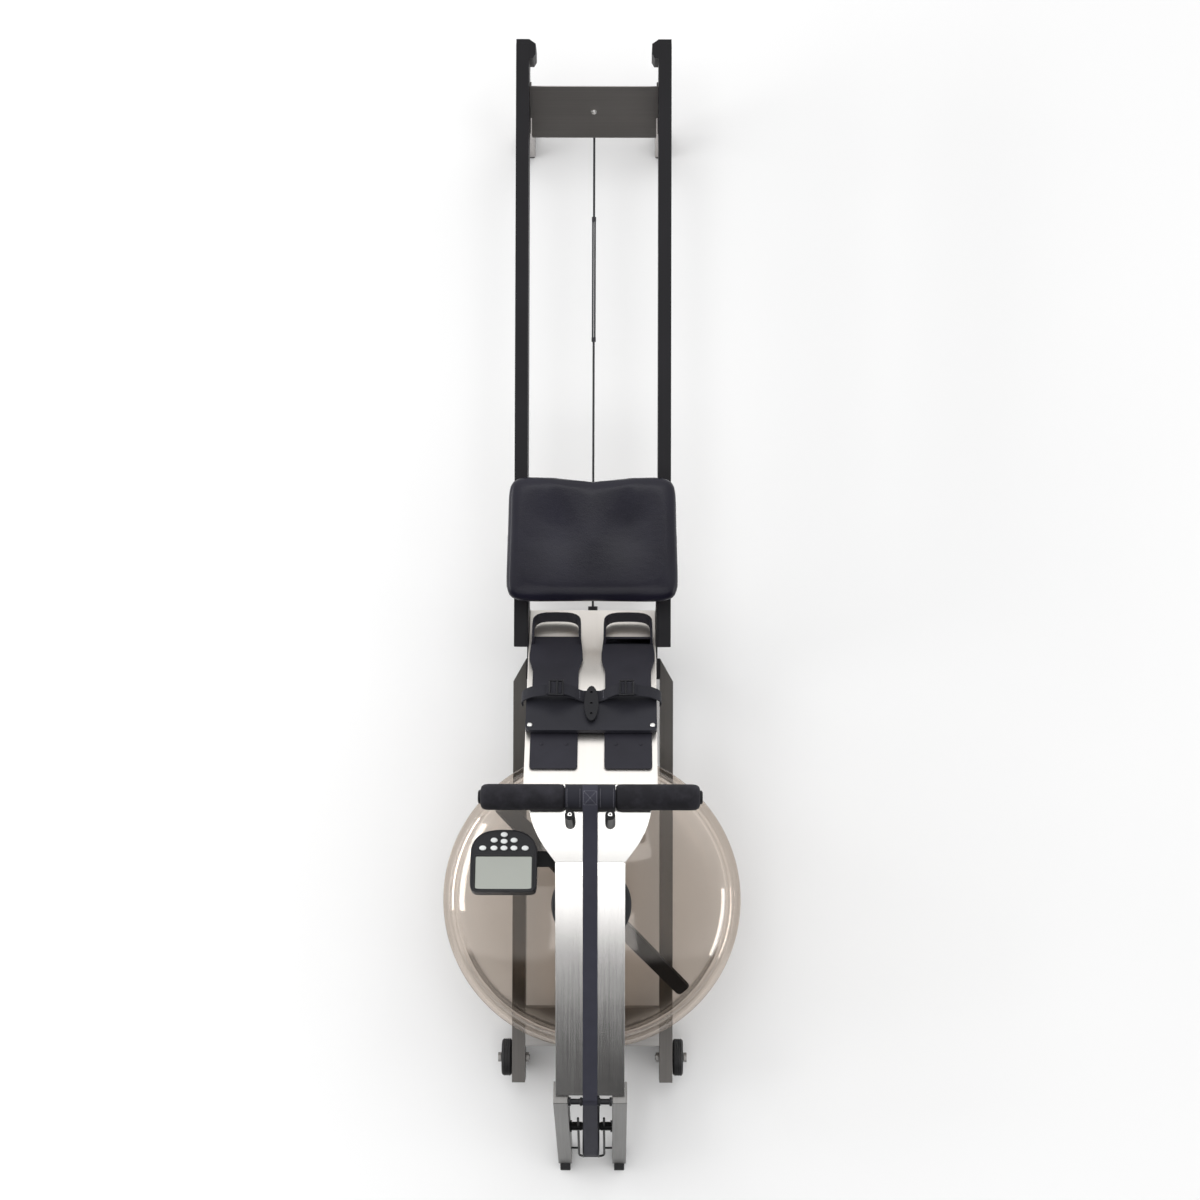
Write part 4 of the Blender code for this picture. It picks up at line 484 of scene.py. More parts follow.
low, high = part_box("front_pulley")
PULLEY_AT = (low + high) / 2
wide = (high.x - low.x) / 2
rim = (high.z - low.z) / 2
pulley = [(rim, wide), (rim, wide - 0.0012), (rim - 0.0042, wide - 0.0022), (rim - 0.0042, 0.0022 - wide),
          (rim, 0.0012 - wide), (rim, -wide), (rim - 0.008, -wide), (rim - 0.010, 0.006 - wide),
          (0.016, 0.006 - wide), (0.014, -wide), (0.0055, -wide), (0.0055, wide), (0.014, wide),
          (0.016, wide - 0.006), (rim - 0.010, wide - 0.006), (rim - 0.008, wide)]
shown(turned("front_pulley_turned", eased(pulley, 0.0008), PULLEY_AT, (1, 0, 0), nylon, 128, ring=True),
      "lower_pulley", "front_pulley")
softened("pulley_axle", 0.0004, [powder_coat("axle_coat", (0.012, 0.012, 0.013), 0.4)], angle=50)
softened("belt_drum", 0.0006, [nylon], angle=40)


# ---- Water tank ---------------------------------------------------------------------------------------
# Two shells of clear smoke-brown polycarbonate clamped at a thin rim. They stand empty, with the paddle and
# its shaft inside, and a black hub housing carries the shaft's bearing on top.
def smoked_clear(name, tint, gloss, edge):
    """Clear tinted plastic: light passes straight through and is coloured, and the surface reflects."""
    finish = Finish(name, (0.95, 0.93, 0.91), gloss, 1.0)
    wear = finish.noise(7, detail=5)
    finish.set("Roughness", gloss + 0.04 * wear)
    clear = finish.node("ShaderNodeBsdfTransparent", values={"Color": (*tint, 1)})
    mirror = finish.node("ShaderNodeFresnel", values={"IOR": 1.45})
    both = finish.node("ShaderNodeMixShader", values={0: (mirror * edge + 0.01).clamped(0, 0.6), 1: clear})
    mix = both.socket.node
    finish.tree.links.new(finish.shader.outputs[0], mix.inputs[2])
    finish.tree.links.new(mix.outputs[0], finish.tree.nodes["Material Output"].inputs["Surface"])
    return finish.material


smoke = smoked_clear("smoke_clear", (0.880, 0.835, 0.792), 0.04, 1.1)
thin_smoke = smoked_clear("smoke_clear_lower", (0.968, 0.958, 0.948), 0.10, 0.3)
TANK_Y = -0.5255
SKIN = 0.264
RIM = 0.276
lower = [(0, 0.0826), (SKIN - 0.046, 0.0826), (SKIN - 0.024, 0.088), (SKIN - 0.008, 0.101), (SKIN, 0.120),
         (SKIN, 0.196), (RIM, 0.196), (RIM, 0.201), (SKIN - 0.004, 0.201), (SKIN - 0.004, 0.121),
         (SKIN - 0.012, 0.104), (SKIN - 0.027, 0.091), (SKIN - 0.047, 0.0866), (0, 0.0866)]
upper = [(0.0084, 0.288), (0.060, 0.288), (0.110, 0.279), (0.160, 0.267), (0.205, 0.252), (0.238, 0.236),
         (0.257, 0.221), (SKIN, 0.2063), (RIM, 0.2063), (RIM, 0.2013), (SKIN - 0.004, 0.2013),
         (0.2535, 0.2175), (0.235, 0.232), (0.203, 0.2475), (0.159, 0.2628), (0.109, 0.2748),
         (0.060, 0.284), (0.0084, 0.284)]
middle = (0, TANK_Y, 0)
shell = turned("tank_lower_shell", eased(lower, 0.012, 5), middle, (0, 0, 1), thin_smoke, 160, ring=True)
shown(shell, "frame", "tank_lower")
shell = turned("tank_upper_shell", eased(upper, 0.03, 6), middle, (0, 0, 1), smoke, 160, ring=True)
shown(shell, "frame", "tank_upper")

hub_plastic = moulded("hub_plastic", (0.020, 0.020, 0.022), 0.45)
hub = [(0.0084, 0.350), (0.026, 0.350), (0.030, 0.346), (0.034, 0.318), (0.050, 0.306), (0.070, 0.302),
       (0.073, 0.299), (0.073, 0.2895), (0.062, 0.2895), (0.060, 0.2883), (0.0084, 0.2883)]
shown(turned("hub_turned", eased(hub, 0.003), middle, (0, 0, 1), hub_plastic, ring=True),
      "frame", "hub_housing")
softened("paddle", 0.0012, [moulded("paddle_plastic", (0.012, 0.012, 0.014), 0.32)], angle=35)


# ---- Seat ---------------------------------------------------------------------------------------------
# A moulded foam pad in smooth blue-black upholstery, wrapped round a plywood board. The back edge is drawn
# in at the middle, and two shallow hollows take the sit bones. Steel angles and the wheel sets hang below.
SEAT_LOW, SEAT_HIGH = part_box("seat_pad")
PAD_SHRINK = 0.0020
PAD_LIMIT = 0.0025
PAD_PRESSURE = 3.0


def seat_outline(turns):
    """A rounded rectangle, |x/a|^p + |y/b|^p = 1, its back edge drawn in by a narrow bell at the middle."""
    half = (SEAT_HIGH - SEAT_LOW) / 2
    c, s = np.cos(turns), np.sin(turns)
    power = 2 / 9.5
    x = half.x * np.sign(c) * np.abs(c) ** power
    y = half.y * np.sign(s) * np.abs(s) ** power
    notch = 0.007 * np.exp(-(x / 0.034) ** 2) * np.clip(s, 0, 1)
    return x * (1 - 0.010 * (y / half.y)), y - notch


def pad_form():
    """Rings of the outline from the bottom's middle, out over a full edge and back to the top's middle.

    The top is lowered by two round hollows and a soft channel between them, and rolls down at the front.
    """
    turns = np.linspace(0, 2 * pi, 240, endpoint=False)
    x, y = seat_outline(turns)
    rows = np.array([(0.0, 0.0), (0.5, 0.0), (0.93, 0.0), (0.962, 0.12), (0.985, 0.32), (0.992, 0.52),
                     (0.985, 0.70), (0.968, 0.85), (0.935, 0.95), (0.88, 1.0), (0.8, 1.0), (0.7, 1.0),
                     (0.6, 1.0), (0.5, 1.0), (0.4, 1.0), (0.3, 1.0), (0.2, 1.0), (0.1, 1.0), (0.0, 1.0)])
    share, rise = rows[:, :1], rows[:, 1:]
    middle = (SEAT_LOW + SEAT_HIGH) / 2
    px, py = share * x, share * y
    thick = SEAT_HIGH.z - SEAT_LOW.z - PAD_SHRINK
    hollows = np.exp(-((np.abs(px) - 0.062) / 0.040) ** 2 - ((py - 0.020) / 0.052) ** 2) * 0.0055
    channel = 0.0030 * np.exp(-(px / 0.018) ** 2) * np.clip(py / 0.09, 0, 1)
    roll = 0.0060 * np.clip((-py - 0.080) / 0.034, 0, 1) ** 2
    top = thick - (hollows + channel + roll) * (rise > 0.8)
    pz = SEAT_LOW.z + rise * top
    return np.stack([middle.x + px, middle.y + py, pz], -1)


def upholstery(name, colour):
    """Smooth vinyl: a leather grain of small cells, creases, and a soft gloss that changes over the pad."""
    finish = Finish(name, colour, 0.34, 0.0, specular_ior_level=0.28)
    values = {"Vector": finish.place, "Scale": 620.0}
    cells = finish.node("ShaderNodeTexVoronoi", {"feature": "SMOOTH_F1"}, values)
    crease = finish.noise(46, (1, 2.2, 1), detail=5, rough=0.6)
    cloud = finish.noise(6, detail=4, rough=0.6)
    finish.relief(cells * 0.6 + crease * 0.9, 0.00022)
    finish.set("Roughness", 0.24 + 0.16 * cloud)
    finish.tint((cloud * 2.4 - 0.95).clamped(), tuple(c * 1.8 for c in colour))
    return finish.material


def stuffed(piece, voxel, pressure, limit):
    """Cloth under pressure without gravity: the skin fills out, and no point moves past the limit."""
    bpy.context.view_layer.objects.active = piece
    piece.select_set(True)
    remesh = piece.modifiers.new("voxels", "REMESH")
    remesh.mode = "VOXEL"
    remesh.voxel_size = voxel
    bpy.ops.object.modifier_apply(modifier=remesh.name)
    count = len(piece.data.vertices)
    before = np.empty(count * 3)
    piece.data.vertices.foreach_get("co", before)
    before = before.reshape(-1, 3)
    cloth = piece.modifiers.new("skin", "CLOTH")
    cloth.settings.quality = 6
    cloth.settings.mass = 0.25
    cloth.settings.tension_stiffness = 60
    cloth.settings.compression_stiffness = 60
    cloth.settings.bending_stiffness = 30
    cloth.settings.use_pressure = True
    cloth.settings.uniform_pressure_force = pressure
    cloth.settings.effector_weights.gravity = 0
    for number in range(1, 21):
        bpy.context.scene.frame_set(number)
    bpy.ops.object.modifier_apply(modifier=cloth.name)
    bpy.context.scene.frame_set(1)
    after = np.empty(count * 3)
    piece.data.vertices.foreach_get("co", after)
    move = after.reshape(-1, 3) - before
    size = np.linalg.norm(move, axis=1)[:, None]
    move *= np.minimum(1, limit / np.maximum(size, 1e-9))
    kept = before + move
    kept[:, 2] = np.maximum(kept[:, 2], SEAT_LOW.z)
    piece.data.vertices.foreach_set("co", kept.reshape(-1))
    piece.data.polygons.foreach_set("use_smooth", np.ones(len(piece.data.polygons), bool))
    piece.data.update()


pad_skin = upholstery("seat_upholstery", (0.0068, 0.0062, 0.0125))
pad = surface("seat_cushion", pad_form(), pad_skin, around=True, crease=180)
bpy.context.scene.collection.objects.link(pad)
stuffed(pad, 0.005, PAD_PRESSURE, PAD_LIMIT)
smooth = pad.modifiers.new("smooth", "SUBSURF")
smooth.levels = smooth.render_levels = 1
shown(pad, "seat", "seat_pad")


def plywood(name, colour):
    """Birch ply: thin plies seen on the edge, a long grain on the face, under a clear satin lacquer."""
    finish = Finish(name, colour, 0.5, 0.0, coat_weight=0.2)
    plies = (finish.along((0, 0, 1)) * (2 * pi / 0.0016)).sine()
    grain = finish.noise(30, (12, 1, 6), detail=6, rough=0.65)
    finish.relief(grain, 0.0001)
    finish.tint((plies * 0.3 + grain * 1.2 - 0.35).clamped(), (0.34, 0.24, 0.155))
    return finish.material


softened("seat_base", 0.0012, [plywood("seat_board_ply", (0.58, 0.47, 0.35))])
bracket_steel = brushed_steel("bracket_steel", (0.45, 0.44, 0.43), (900, 8, 900), 0.33)
for node in ("seat_bracket_left", "seat_bracket_right"):
    softened(node, 0.0006, [bracket_steel])

WHEEL_R, WHEEL_IN, WHEEL_OUT = 0.0165, 0.125, 0.139
wheel_half = [(0, 0.141), (0.0058, 0.141), (0.0065, 0.1403), (0.0065, WHEEL_OUT),
              (WHEEL_R - 0.001, WHEEL_OUT), (WHEEL_R, WHEEL_OUT - 0.002), (WHEEL_R, WHEEL_IN + 0.002),
              (WHEEL_R - 0.001, WHEEL_IN), (0.0065, WHEEL_IN), (0.0065, WHEEL_IN - 0.0015),
              (0.0039, WHEEL_IN - 0.0015)]
seat_wheel = eased(wheel_half + [(r, -h) for r, h in reversed(wheel_half)], 0.0006)
for node, body in (("seat_wheels_front", "seat_front_axle"), ("seat_wheels_rear", "seat_rear_axle")):
    low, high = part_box(node)
    shown(turned(node + "_turned", seat_wheel, (low + high) / 2, (1, 0, 0), nylon), body, node)


# ---- Handle and pegs ----------------------------------------------------------------------------------
# A black steel bar with two thick foam grips. The belt's end is wrapped round the middle, doubled and sewn
# with a box and a cross. It rests against two plastic pegs, each with a steel screw in its head.
low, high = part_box("handle_bar")
HANDLE_AT = (low + high) / 2
HANDLE_HALF = (high.x - low.x) / 2
low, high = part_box("grip_right")
GRIP_R = (high.z - low.z) / 2
GRIP_INNER, GRIP_OUTER = low.x, high.x


def foam(name, colour):
    """Closed-cell foam: a fine pitted skin with scuffs that catch a little light."""
    finish = Finish(name, colour, 0.82, 0.0, sheen_weight=0.04, specular_ior_level=0.15)
    pits = finish.node("ShaderNodeTexVoronoi", {"feature": "F1"}, {"Vector": finish.place, "Scale": 900.0})
    scuff = finish.noise(28, (1, 1, 1), detail=6, rough=0.65)
    finish.relief(pits * 0.5 + finish.noise(420, detail=3) * 0.9, 0.00035)
    finish.tint((scuff * 2.6 - 1.1).clamped(), tuple(c * 2.6 for c in colour))
    finish.set("Roughness", 0.72 + 0.2 * scuff)
    return finish.material


grip_foam = foam("grip_foam", (0.0135, 0.0130, 0.0160))
GRIP_BORE = 0.0128
grip_line = [(GRIP_BORE, GRIP_OUTER - 0.0005), (GRIP_R - 0.009, GRIP_OUTER - 0.0001),
             (GRIP_R - 0.004, GRIP_OUTER - 0.0015), (GRIP_R - 0.001, GRIP_OUTER - 0.006),
             (GRIP_R, GRIP_OUTER - 0.013), (GRIP_R, GRIP_INNER + 0.010),
             (GRIP_R - 0.0012, GRIP_INNER + 0.003), (GRIP_R - 0.004, GRIP_INNER), (GRIP_BORE, GRIP_INNER)]
grip_line = eased(grip_line, 0.004, 5)
for side, node in zip(SIDES, ("grip_left", "grip_right")):
    shown(turned(node + "_foam", grip_line, HANDLE_AT, (side, 0, 0), grip_foam, ring=True), "handle", node)
bar_half = [(0, HANDLE_HALF), (0.009, HANDLE_HALF), (0.0115, HANDLE_HALF - 0.0015),
            (0.0121, HANDLE_HALF - 0.004)]
bar = eased(bar_half + [(r, -h) for r, h in reversed(bar_half)], 0.0008)
shown(turned("handle_bar_turned", bar, HANDLE_AT, (1, 0, 0), rail_coat), "handle", "handle_bar")

wrap_web = webbing("wrap_webbing", (0, 1, 0), (1, 0, 0), (0.0135, 0.0135, 0.0190), 0.0021, 0.0016)
WRAP_FROM_Y = HANDLE_AT.y - 0.0235
softened("handle_belt", 0.0006, [belt_web, wrap_web], lambda c: c[:, 1] > WRAP_FROM_Y, angle=50)
WRAP_R = 0.0226
WRAP_HALF = GRIP_INNER - 0.0012
flap_turns = np.linspace(0.30, pi - 0.30, 40)
flap_x = np.linspace(-0.0135, 0.0135, 9)
flap_grid = np.stack(np.broadcast_arrays(
    flap_x[None, :], HANDLE_AT.y + WRAP_R * np.cos(flap_turns)[:, None],
    HANDLE_AT.z + WRAP_R * np.sin(flap_turns)[:, None]), -1)
flap = surface("handle_belt_flap", flap_grid, belt_web)
flap_thick = flap.modifiers.new("thickness", "SOLIDIFY")
flap_thick.thickness = 0.0011
flap_thick.offset = 0
shown(flap, "handle")


def stitches(name, starts, ends, radius, material):
    """Rows of thread: each stitch is a thin closed capsule from a start to an end, thickest midway."""
    starts, ends = np.array(starts, float), np.array(ends, float)
    way = ends - starts
    length = np.linalg.norm(way, axis=1)[:, None]
    way = way / length
    u = np.cross(way, (0.0, 0.0, 1.0))
    u /= np.maximum(np.linalg.norm(u, axis=1)[:, None], 1e-6)
    v = np.cross(u, way)
    rows = np.array([(0.0, 0.02), (0.15, 0.8), (0.5, 1.0), (0.85, 0.8), (1.0, 0.02)])
    a = np.linspace(0, 2 * pi, 6, endpoint=False)
    core = starts[:, None] + way[:, None] * length[:, None] * rows[None, :, :1]
    ring = u[:, None] * np.cos(a)[None, :, None] + v[:, None] * np.sin(a)[None, :, None]
    grid = core[:, :, None] + ring[:, None] * radius * rows[None, :, 1, None, None]
    count = len(starts)
    index = np.arange(count * 30).reshape(count, 5, 6)
    index = np.concatenate([index, index[:, :, :1]], 2)
    quads = np.stack([index[:, :-1, :-1], index[:, :-1, 1:], index[:, 1:, 1:], index[:, 1:, :-1]], -1)
    mesh = bpy.data.meshes.new(name)
    mesh.from_pydata(grid.reshape(-1, 3).tolist(), [], quads.reshape(-1, 4).tolist())
    shape = bmesh.new()
    shape.from_mesh(mesh)
    bmesh.ops.holes_fill(shape, edges=shape.edges)
    bmesh.ops.recalc_face_normals(shape, faces=shape.faces)
    shape.to_mesh(mesh)
    shape.free()
    mesh.materials.append(material)
    mesh.polygons.foreach_set("use_smooth", np.ones(len(mesh.polygons), bool))
    return bpy.data.objects.new(name, mesh)


thread = Finish("thread", (0.085, 0.085, 0.105), 0.6, 0.0, sheen_weight=0.3)
thread.tint(thread.noise(700).clamped(), (0.15, 0.15, 0.18))


def seam(corners, step=0.0034, share=0.72):
    """The starts and ends of stitches laid along a line through corners."""
    starts, ends = [], []
    for a, b in zip(corners, corners[1:]):
        a, b = np.array(a, float), np.array(b, float)
        count = max(2, round(np.linalg.norm(b - a) / step))
        t = np.arange(count) / count
        starts.append(a + (b - a) * t[:, None])
        ends.append(a + (b - a) * (t + share / count)[:, None])
    return np.concatenate(starts), np.concatenate(ends)


def on_wrap(flat, lift):
    """Puts (x, distance round from the top) on the wrap: y = r sin(s / r), z = r cos(s / r)."""
    r = WRAP_R + lift
    turn = flat[:, 1] / r
    return np.stack([flat[:, 0], HANDLE_AT.y + r * np.sin(turn), HANDLE_AT.z + r * np.cos(turn)], -1)


def joined(seams):
    """Several seams as one: all their stitches' starts, then all their ends."""
    return [np.concatenate(points) for points in zip(*seams)]


b, d = 0.0112, 0.0125
box_and_cross = ([(-b, -d), (b, -d), (b, d), (-b, d), (-b, -d)], [(-b, -d), (b, d)], [(b, -d), (-b, d)])
starts, ends = (on_wrap(points, 0.0006) for points in joined([seam(line) for line in box_and_cross]))
shown(stitches("handle_stitching", starts, ends, 0.00042, thread.material), "handle")
EDGE_ROWS = (-WRAP_HALF + 0.003, WRAP_HALF - 0.003, -0.0175, 0.0175)
edge_seams = [seam([(x, -0.018), (x, 0.018)], 0.0036) for x in EDGE_ROWS]
starts, ends = (on_wrap(points, 0.0001) for points in joined(edge_seams))
shown(stitches("handle_edge_stitching", starts, ends, 0.0004, thread.material), "handle")

peg_plastic = moulded("peg_plastic", (0.0060, 0.0060, 0.0075), 0.42)
screw_steel = brushed_steel("screw_steel", (0.80, 0.79, 0.77), (500, 500, 500), 0.22)
PEG_HEAD = np.array([0.0, -0.3455, 0.546])
PEG_AXIS = np.array([0.0, sin(0.36), cos(0.36)])
hex_screw = eased([(0, 0.0012), (0.0012, 0.0012), (0.0016, 0.0026), (0.0032, 0.0026), (0.0042, 0.0014),
                   (0.0042, -0.004), (0, -0.004)], 0.0006)
for side, node in zip(SIDES, ("peg_left", "peg_right")):
    softened(node, 0.0009, [peg_plastic], segments=3, angle=25)
    place = PEG_HEAD + (side * 0.0345, 0, 0)
    shown(turned(node + "_screw", hex_screw, place, PEG_AXIS, screw_steel, 48), "frame")


# ---- Foot rests ---------------------------------------------------------------------------------------
# Moulded black plates on the footboard. Each heel rest slides under a crossbar and cups the heel in a
# standing band. The strap is pinned to the bar by an oval clasp, with a ladder buckle on each side.
def on_board(points):
    """Places (x, distance up the board, height off it) in the machine's frame."""
    points = np.array(points, float)
    x, t, h = points[..., 0], points[..., 1], points[..., 2]
    y = BOARD_FOOT[0] - t * cos(BOARD_PITCH) + h * sin(BOARD_PITCH)
    z = BOARD_FOOT[1] + t * sin(BOARD_PITCH) + h * cos(BOARD_PITCH)
    return np.stack([x, y, z], -1)


rest_plastic = moulded("rest_plastic", (0.0160, 0.0155, 0.0215), 0.52, 700)
softened("foot_plates", 0.0007, [rest_plastic])
softened("heel_left", 0.0009, [rest_plastic], angle=35)
softened("heel_right", 0.0009, [rest_plastic], angle=35)
softened("foot_crossbar", 0.0018, [moulded("crossbar_plastic", (0.0155, 0.0155, 0.0205), 0.46)], segments=3)

PLATE_TOP = 0.0048
BAR_TOP = 0.0161
BOARD_OUT = np.array([0.0, sin(BOARD_PITCH), cos(BOARD_PITCH)])


def screw_heads(name, centres, profile, material):
    """Like heads: one small turned profile set square to the board at each centre."""
    for number, centre in enumerate(centres, 1):
        shown(turned("%s_%d" % (name, number), profile, centre, BOARD_OUT, material, 24), "frame")


pan_head = eased([(0, 0.0026), (0.0026, 0.0026), (0.0044, 0.0016), (0.0050, 0.0), (0, 0.0)], 0.0006)
bar_screws = on_board([(s * 0.1085, t, BAR_TOP) for s in SIDES for t in (0.228, 0.296)])
screw_heads("crossbar_screw", bar_screws, pan_head, screw_steel)
small_head = eased([(0, 0.0014), (0.0022, 0.0014), (0.0034, 0.0), (0, 0.0)], 0.0004)
screw_seat = PLATE_TOP - 0.0002
plate_screws = on_board([(s * 0.0655 + x, 0.330, screw_seat) for s in SIDES for x in (-0.022, 0.022)])
screw_heads("plate_screw", plate_screws, small_head, rest_plastic)

STRAP_HALF = [(0.0150, 0.0030), (0.030, 0.0110), (0.048, 0.0175), (0.068, 0.0195), (0.088, 0.0180),
              (0.106, 0.0140), (0.1195, 0.0060), (0.1240, -0.0020), (0.1225, -0.0100)]
STRAP_T = 0.231
STRAP_W = 0.026
STRAP_THICK = 0.002


def smooth_line(points, count):
    """A Catmull-Rom line through points, with the same number of places along each span."""
    p = np.array(points, float)
    p = np.concatenate([[2 * p[0] - p[1]], p, [2 * p[-1] - p[-2]]])
    t = np.linspace(0, len(points) - 1, count, endpoint=True)
    i = np.minimum(t.astype(int), len(points) - 2)
    f = (t - i)[:, None]
    a, b, c, d = p[i], p[i + 1], p[i + 2], p[i + 3]
    bend = (2 * a - 5 * b + 4 * c - d) * f ** 2
    return 0.5 * (2 * b + (c - a) * f + bend + (3 * b - a - 3 * c + d) * f ** 3)


def strap_band(name, line, width, thick, material):
    """A closed flat band in the board's own frame: a rounded slot section carried along (x, height)."""
    tangent = np.gradient(line, axis=0)
    tangent /= np.linalg.norm(tangent, axis=1)[:, None]
    normal = np.stack([-tangent[:, 1], tangent[:, 0]], -1)
    w, h = width / 2, thick / 2
    section = np.array([(-w + h * 0.4, -h), (w - h * 0.4, -h), (w, -h * 0.4), (w, h * 0.4),
                        (w - h * 0.4, h), (-w + h * 0.4, h), (-w, h * 0.4), (-w, -h * 0.4)])
    xh = line[:, None] + normal[:, None] * section[None, :, 1:]
    t = np.broadcast_to(STRAP_T + section[None, :, :1], xh[..., :1].shape)
    grid = on_board(np.concatenate([xh[..., :1], t, xh[..., 1:]], -1))
    caps = [np.repeat(grid[i].mean(0)[None, None], len(section), 1) for i in (0, -1)]
    return surface(name, np.concatenate([caps[0], grid, caps[1]]), material, around=True, crease=50)


UP_BOARD = (0, -cos(BOARD_PITCH), sin(BOARD_PITCH))
strap_web = webbing("strap_webbing", (1, 0, 0), UP_BOARD, (0.0110, 0.0110, 0.0150), 0.0018, 0.0013)
half_line = [(x, BAR_TOP + h) for x, h in STRAP_HALF]
full_line = [(-x, h) for x, h in reversed(half_line)] + [(0, BAR_TOP + 0.0026)] + half_line
strap = strap_band("foot_strap_web", smooth_line(full_line, 150), STRAP_W, STRAP_THICK, strap_web)
shown(strap, "frame", "foot_strap")
TAIL = [(0.0800, 0.0232), (0.0680, 0.0248), (0.0560, 0.0246), (0.0440, 0.0212), (0.0340, 0.0158),
        (0.0285, 0.0128)]
for side, name in zip(SIDES, ("strap_tail_left", "strap_tail_right")):
    line = smooth_line([(side * x, BAR_TOP + h) for x, h in TAIL], 40)
    shown(strap_band(name, line, STRAP_W, 0.0016, strap_web), "frame")

buckle_plastic = moulded("buckle_plastic", (0.0080, 0.0080, 0.0100), 0.33, 900)
BUCKLE_X = 0.063
for side, label in zip(SIDES, ("left", "right")):
    edge = STRAP_W / 2 + 0.0035
    top = BAR_TOP + 0.0262
    for part, (dx, lift) in enumerate(((-0.0120, -0.0012), (-0.0020, 0.0008), (0.0110, -0.0006))):
        line = [(side * (BUCKLE_X + dx), STRAP_T + s, top + lift) for s in np.linspace(-edge, edge, 9)]
        shown(tube("buckle_bar_%s_%d" % (label, part + 1), on_board(line), 0.0019, buckle_plastic), "frame")
    for part, s in enumerate((-edge, edge)):
        line = [(side * (BUCKLE_X + dx), STRAP_T + s, top + 0.0006 * sin(dx * 200))
                for dx in np.linspace(-0.0135, 0.0125, 9)]
        shown(tube("buckle_side_%s_%d" % (label, part + 1), on_board(line), 0.0021, buckle_plastic), "frame")
softened("strap_clasp", 0.0012, [buckle_plastic], segments=3, angle=40)
SEAM_FROM, SEAM_TO = STRAP_T - 0.0095, STRAP_T + 0.0095
SEAM_HEIGHT = BAR_TOP + 0.0072
strap_seams = [seam([(s * 0.021, SEAM_FROM), (s * 0.021, SEAM_TO)], 0.0036) for s in SIDES]
starts, ends = (on_board(np.insert(points, 2, SEAM_HEIGHT, 1)) for points in joined(strap_seams))
shown(stitches("strap_stitching", starts, ends, 0.0004, thread.material), "frame")


# ---- Monitor ------------------------------------------------------------------------------------------
# A black moulded case on a bent arm beside the deck, with a liquid-crystal window in a thin bezel and nine
# pale soft keys under the arch.
MONITOR_AT = np.array([-0.149, -0.427, 0.503])
MONITOR_TILT = 0.35
CASE_W, CASE_L, CASE_DEEP, ARCH_START = 0.0578, 0.055, 0.032, 0.012


def on_monitor(points):
    """Places (x, y towards the rower, height out of the face) in the machine's frame."""
    points = np.array(points, float)
    x, y, h = points[..., 0], points[..., 1], points[..., 2]
    c, s = cos(MONITOR_TILT), sin(MONITOR_TILT)
    return MONITOR_AT + np.stack([x, y * c + h * s, h * c - y * s], -1)


def case_outline(inset, count=160):
    """Square at the far end and arched at the near end: superellipses of different powers, end to end."""
    w, length = CASE_W - inset, CASE_L - inset
    a = np.linspace(0, pi, count // 2)
    near = np.stack([w * np.sign(np.cos(a)) * np.abs(np.cos(a)) ** 0.72,
                     ARCH_START + (length - ARCH_START) * np.sin(a) ** 0.9], -1)
    a = np.linspace(pi, 2 * pi, count // 2)
    c, s = np.cos(a), np.sin(a)
    reach = length + ARCH_START
    far = np.stack([w * np.sign(c) * np.abs(c) ** 0.16, ARCH_START - reach * np.abs(s) ** 0.16], -1)
    return np.concatenate([near, far[1:-1]])


case_plastic = moulded("case_plastic", (0.0080, 0.0080, 0.0100), 0.42, 1100)
FACE = -0.0006
case_rows = [(0.0300, -CASE_DEEP), (0.0030, -CASE_DEEP), (0.0008, -CASE_DEEP + 0.002), (0.0002, -0.0135),
             (0.0, -0.0132), (0.0, -0.0030), (0.0008, -0.0010), (0.0024, -0.0002), (0.0040, 0.0),
             (0.0052, FACE), (0.0060, FACE), (0.030, FACE)]
rings = [np.insert(case_outline(inset), 2, h, 1) for inset, h in case_rows]
under, over = (np.broadcast_to(np.array([0, 0, h]), rings[0].shape) for h in (-CASE_DEEP, FACE))
case = on_monitor(np.stack([under, *rings, over]))
shown(surface("monitor_shell", case, case_plastic, around=True, crease=40), "frame", "monitor_case")

LCD_W, LCD_H, LCD_Y = 0.0485, 0.0290, -0.0225


def rounded_ring(w, h, y, radius, height, count=64):
    """A rectangle with round corners as a ring of points: corner centres plus a circle of the radius."""
    a = np.linspace(0, 2 * pi, count, endpoint=False)
    x = np.sign(np.cos(a)) * (w - radius) + radius * np.cos(a)
    yy = np.sign(np.sin(a)) * (h - radius) + radius * np.sin(a)
    return np.stack([x, y + yy, np.full(count, height)], -1)


bezel = np.stack([rounded_ring(LCD_W + 0.0035, LCD_H + 0.0035, LCD_Y, 0.004, -0.0008),
                  rounded_ring(LCD_W + 0.0030, LCD_H + 0.0030, LCD_Y, 0.0038, 0.0003),
                  rounded_ring(LCD_W + 0.0012, LCD_H + 0.0012, LCD_Y, 0.003, 0.0003),
                  rounded_ring(LCD_W + 0.0004, LCD_H + 0.0004, LCD_Y, 0.0028, -0.0008)])
bezel_plastic = moulded("bezel_plastic", (0.008, 0.008, 0.009), 0.3)
bezel = surface("monitor_bezel", on_monitor(bezel), bezel_plastic, around=True, along=True, crease=40)
shown(bezel, "frame")

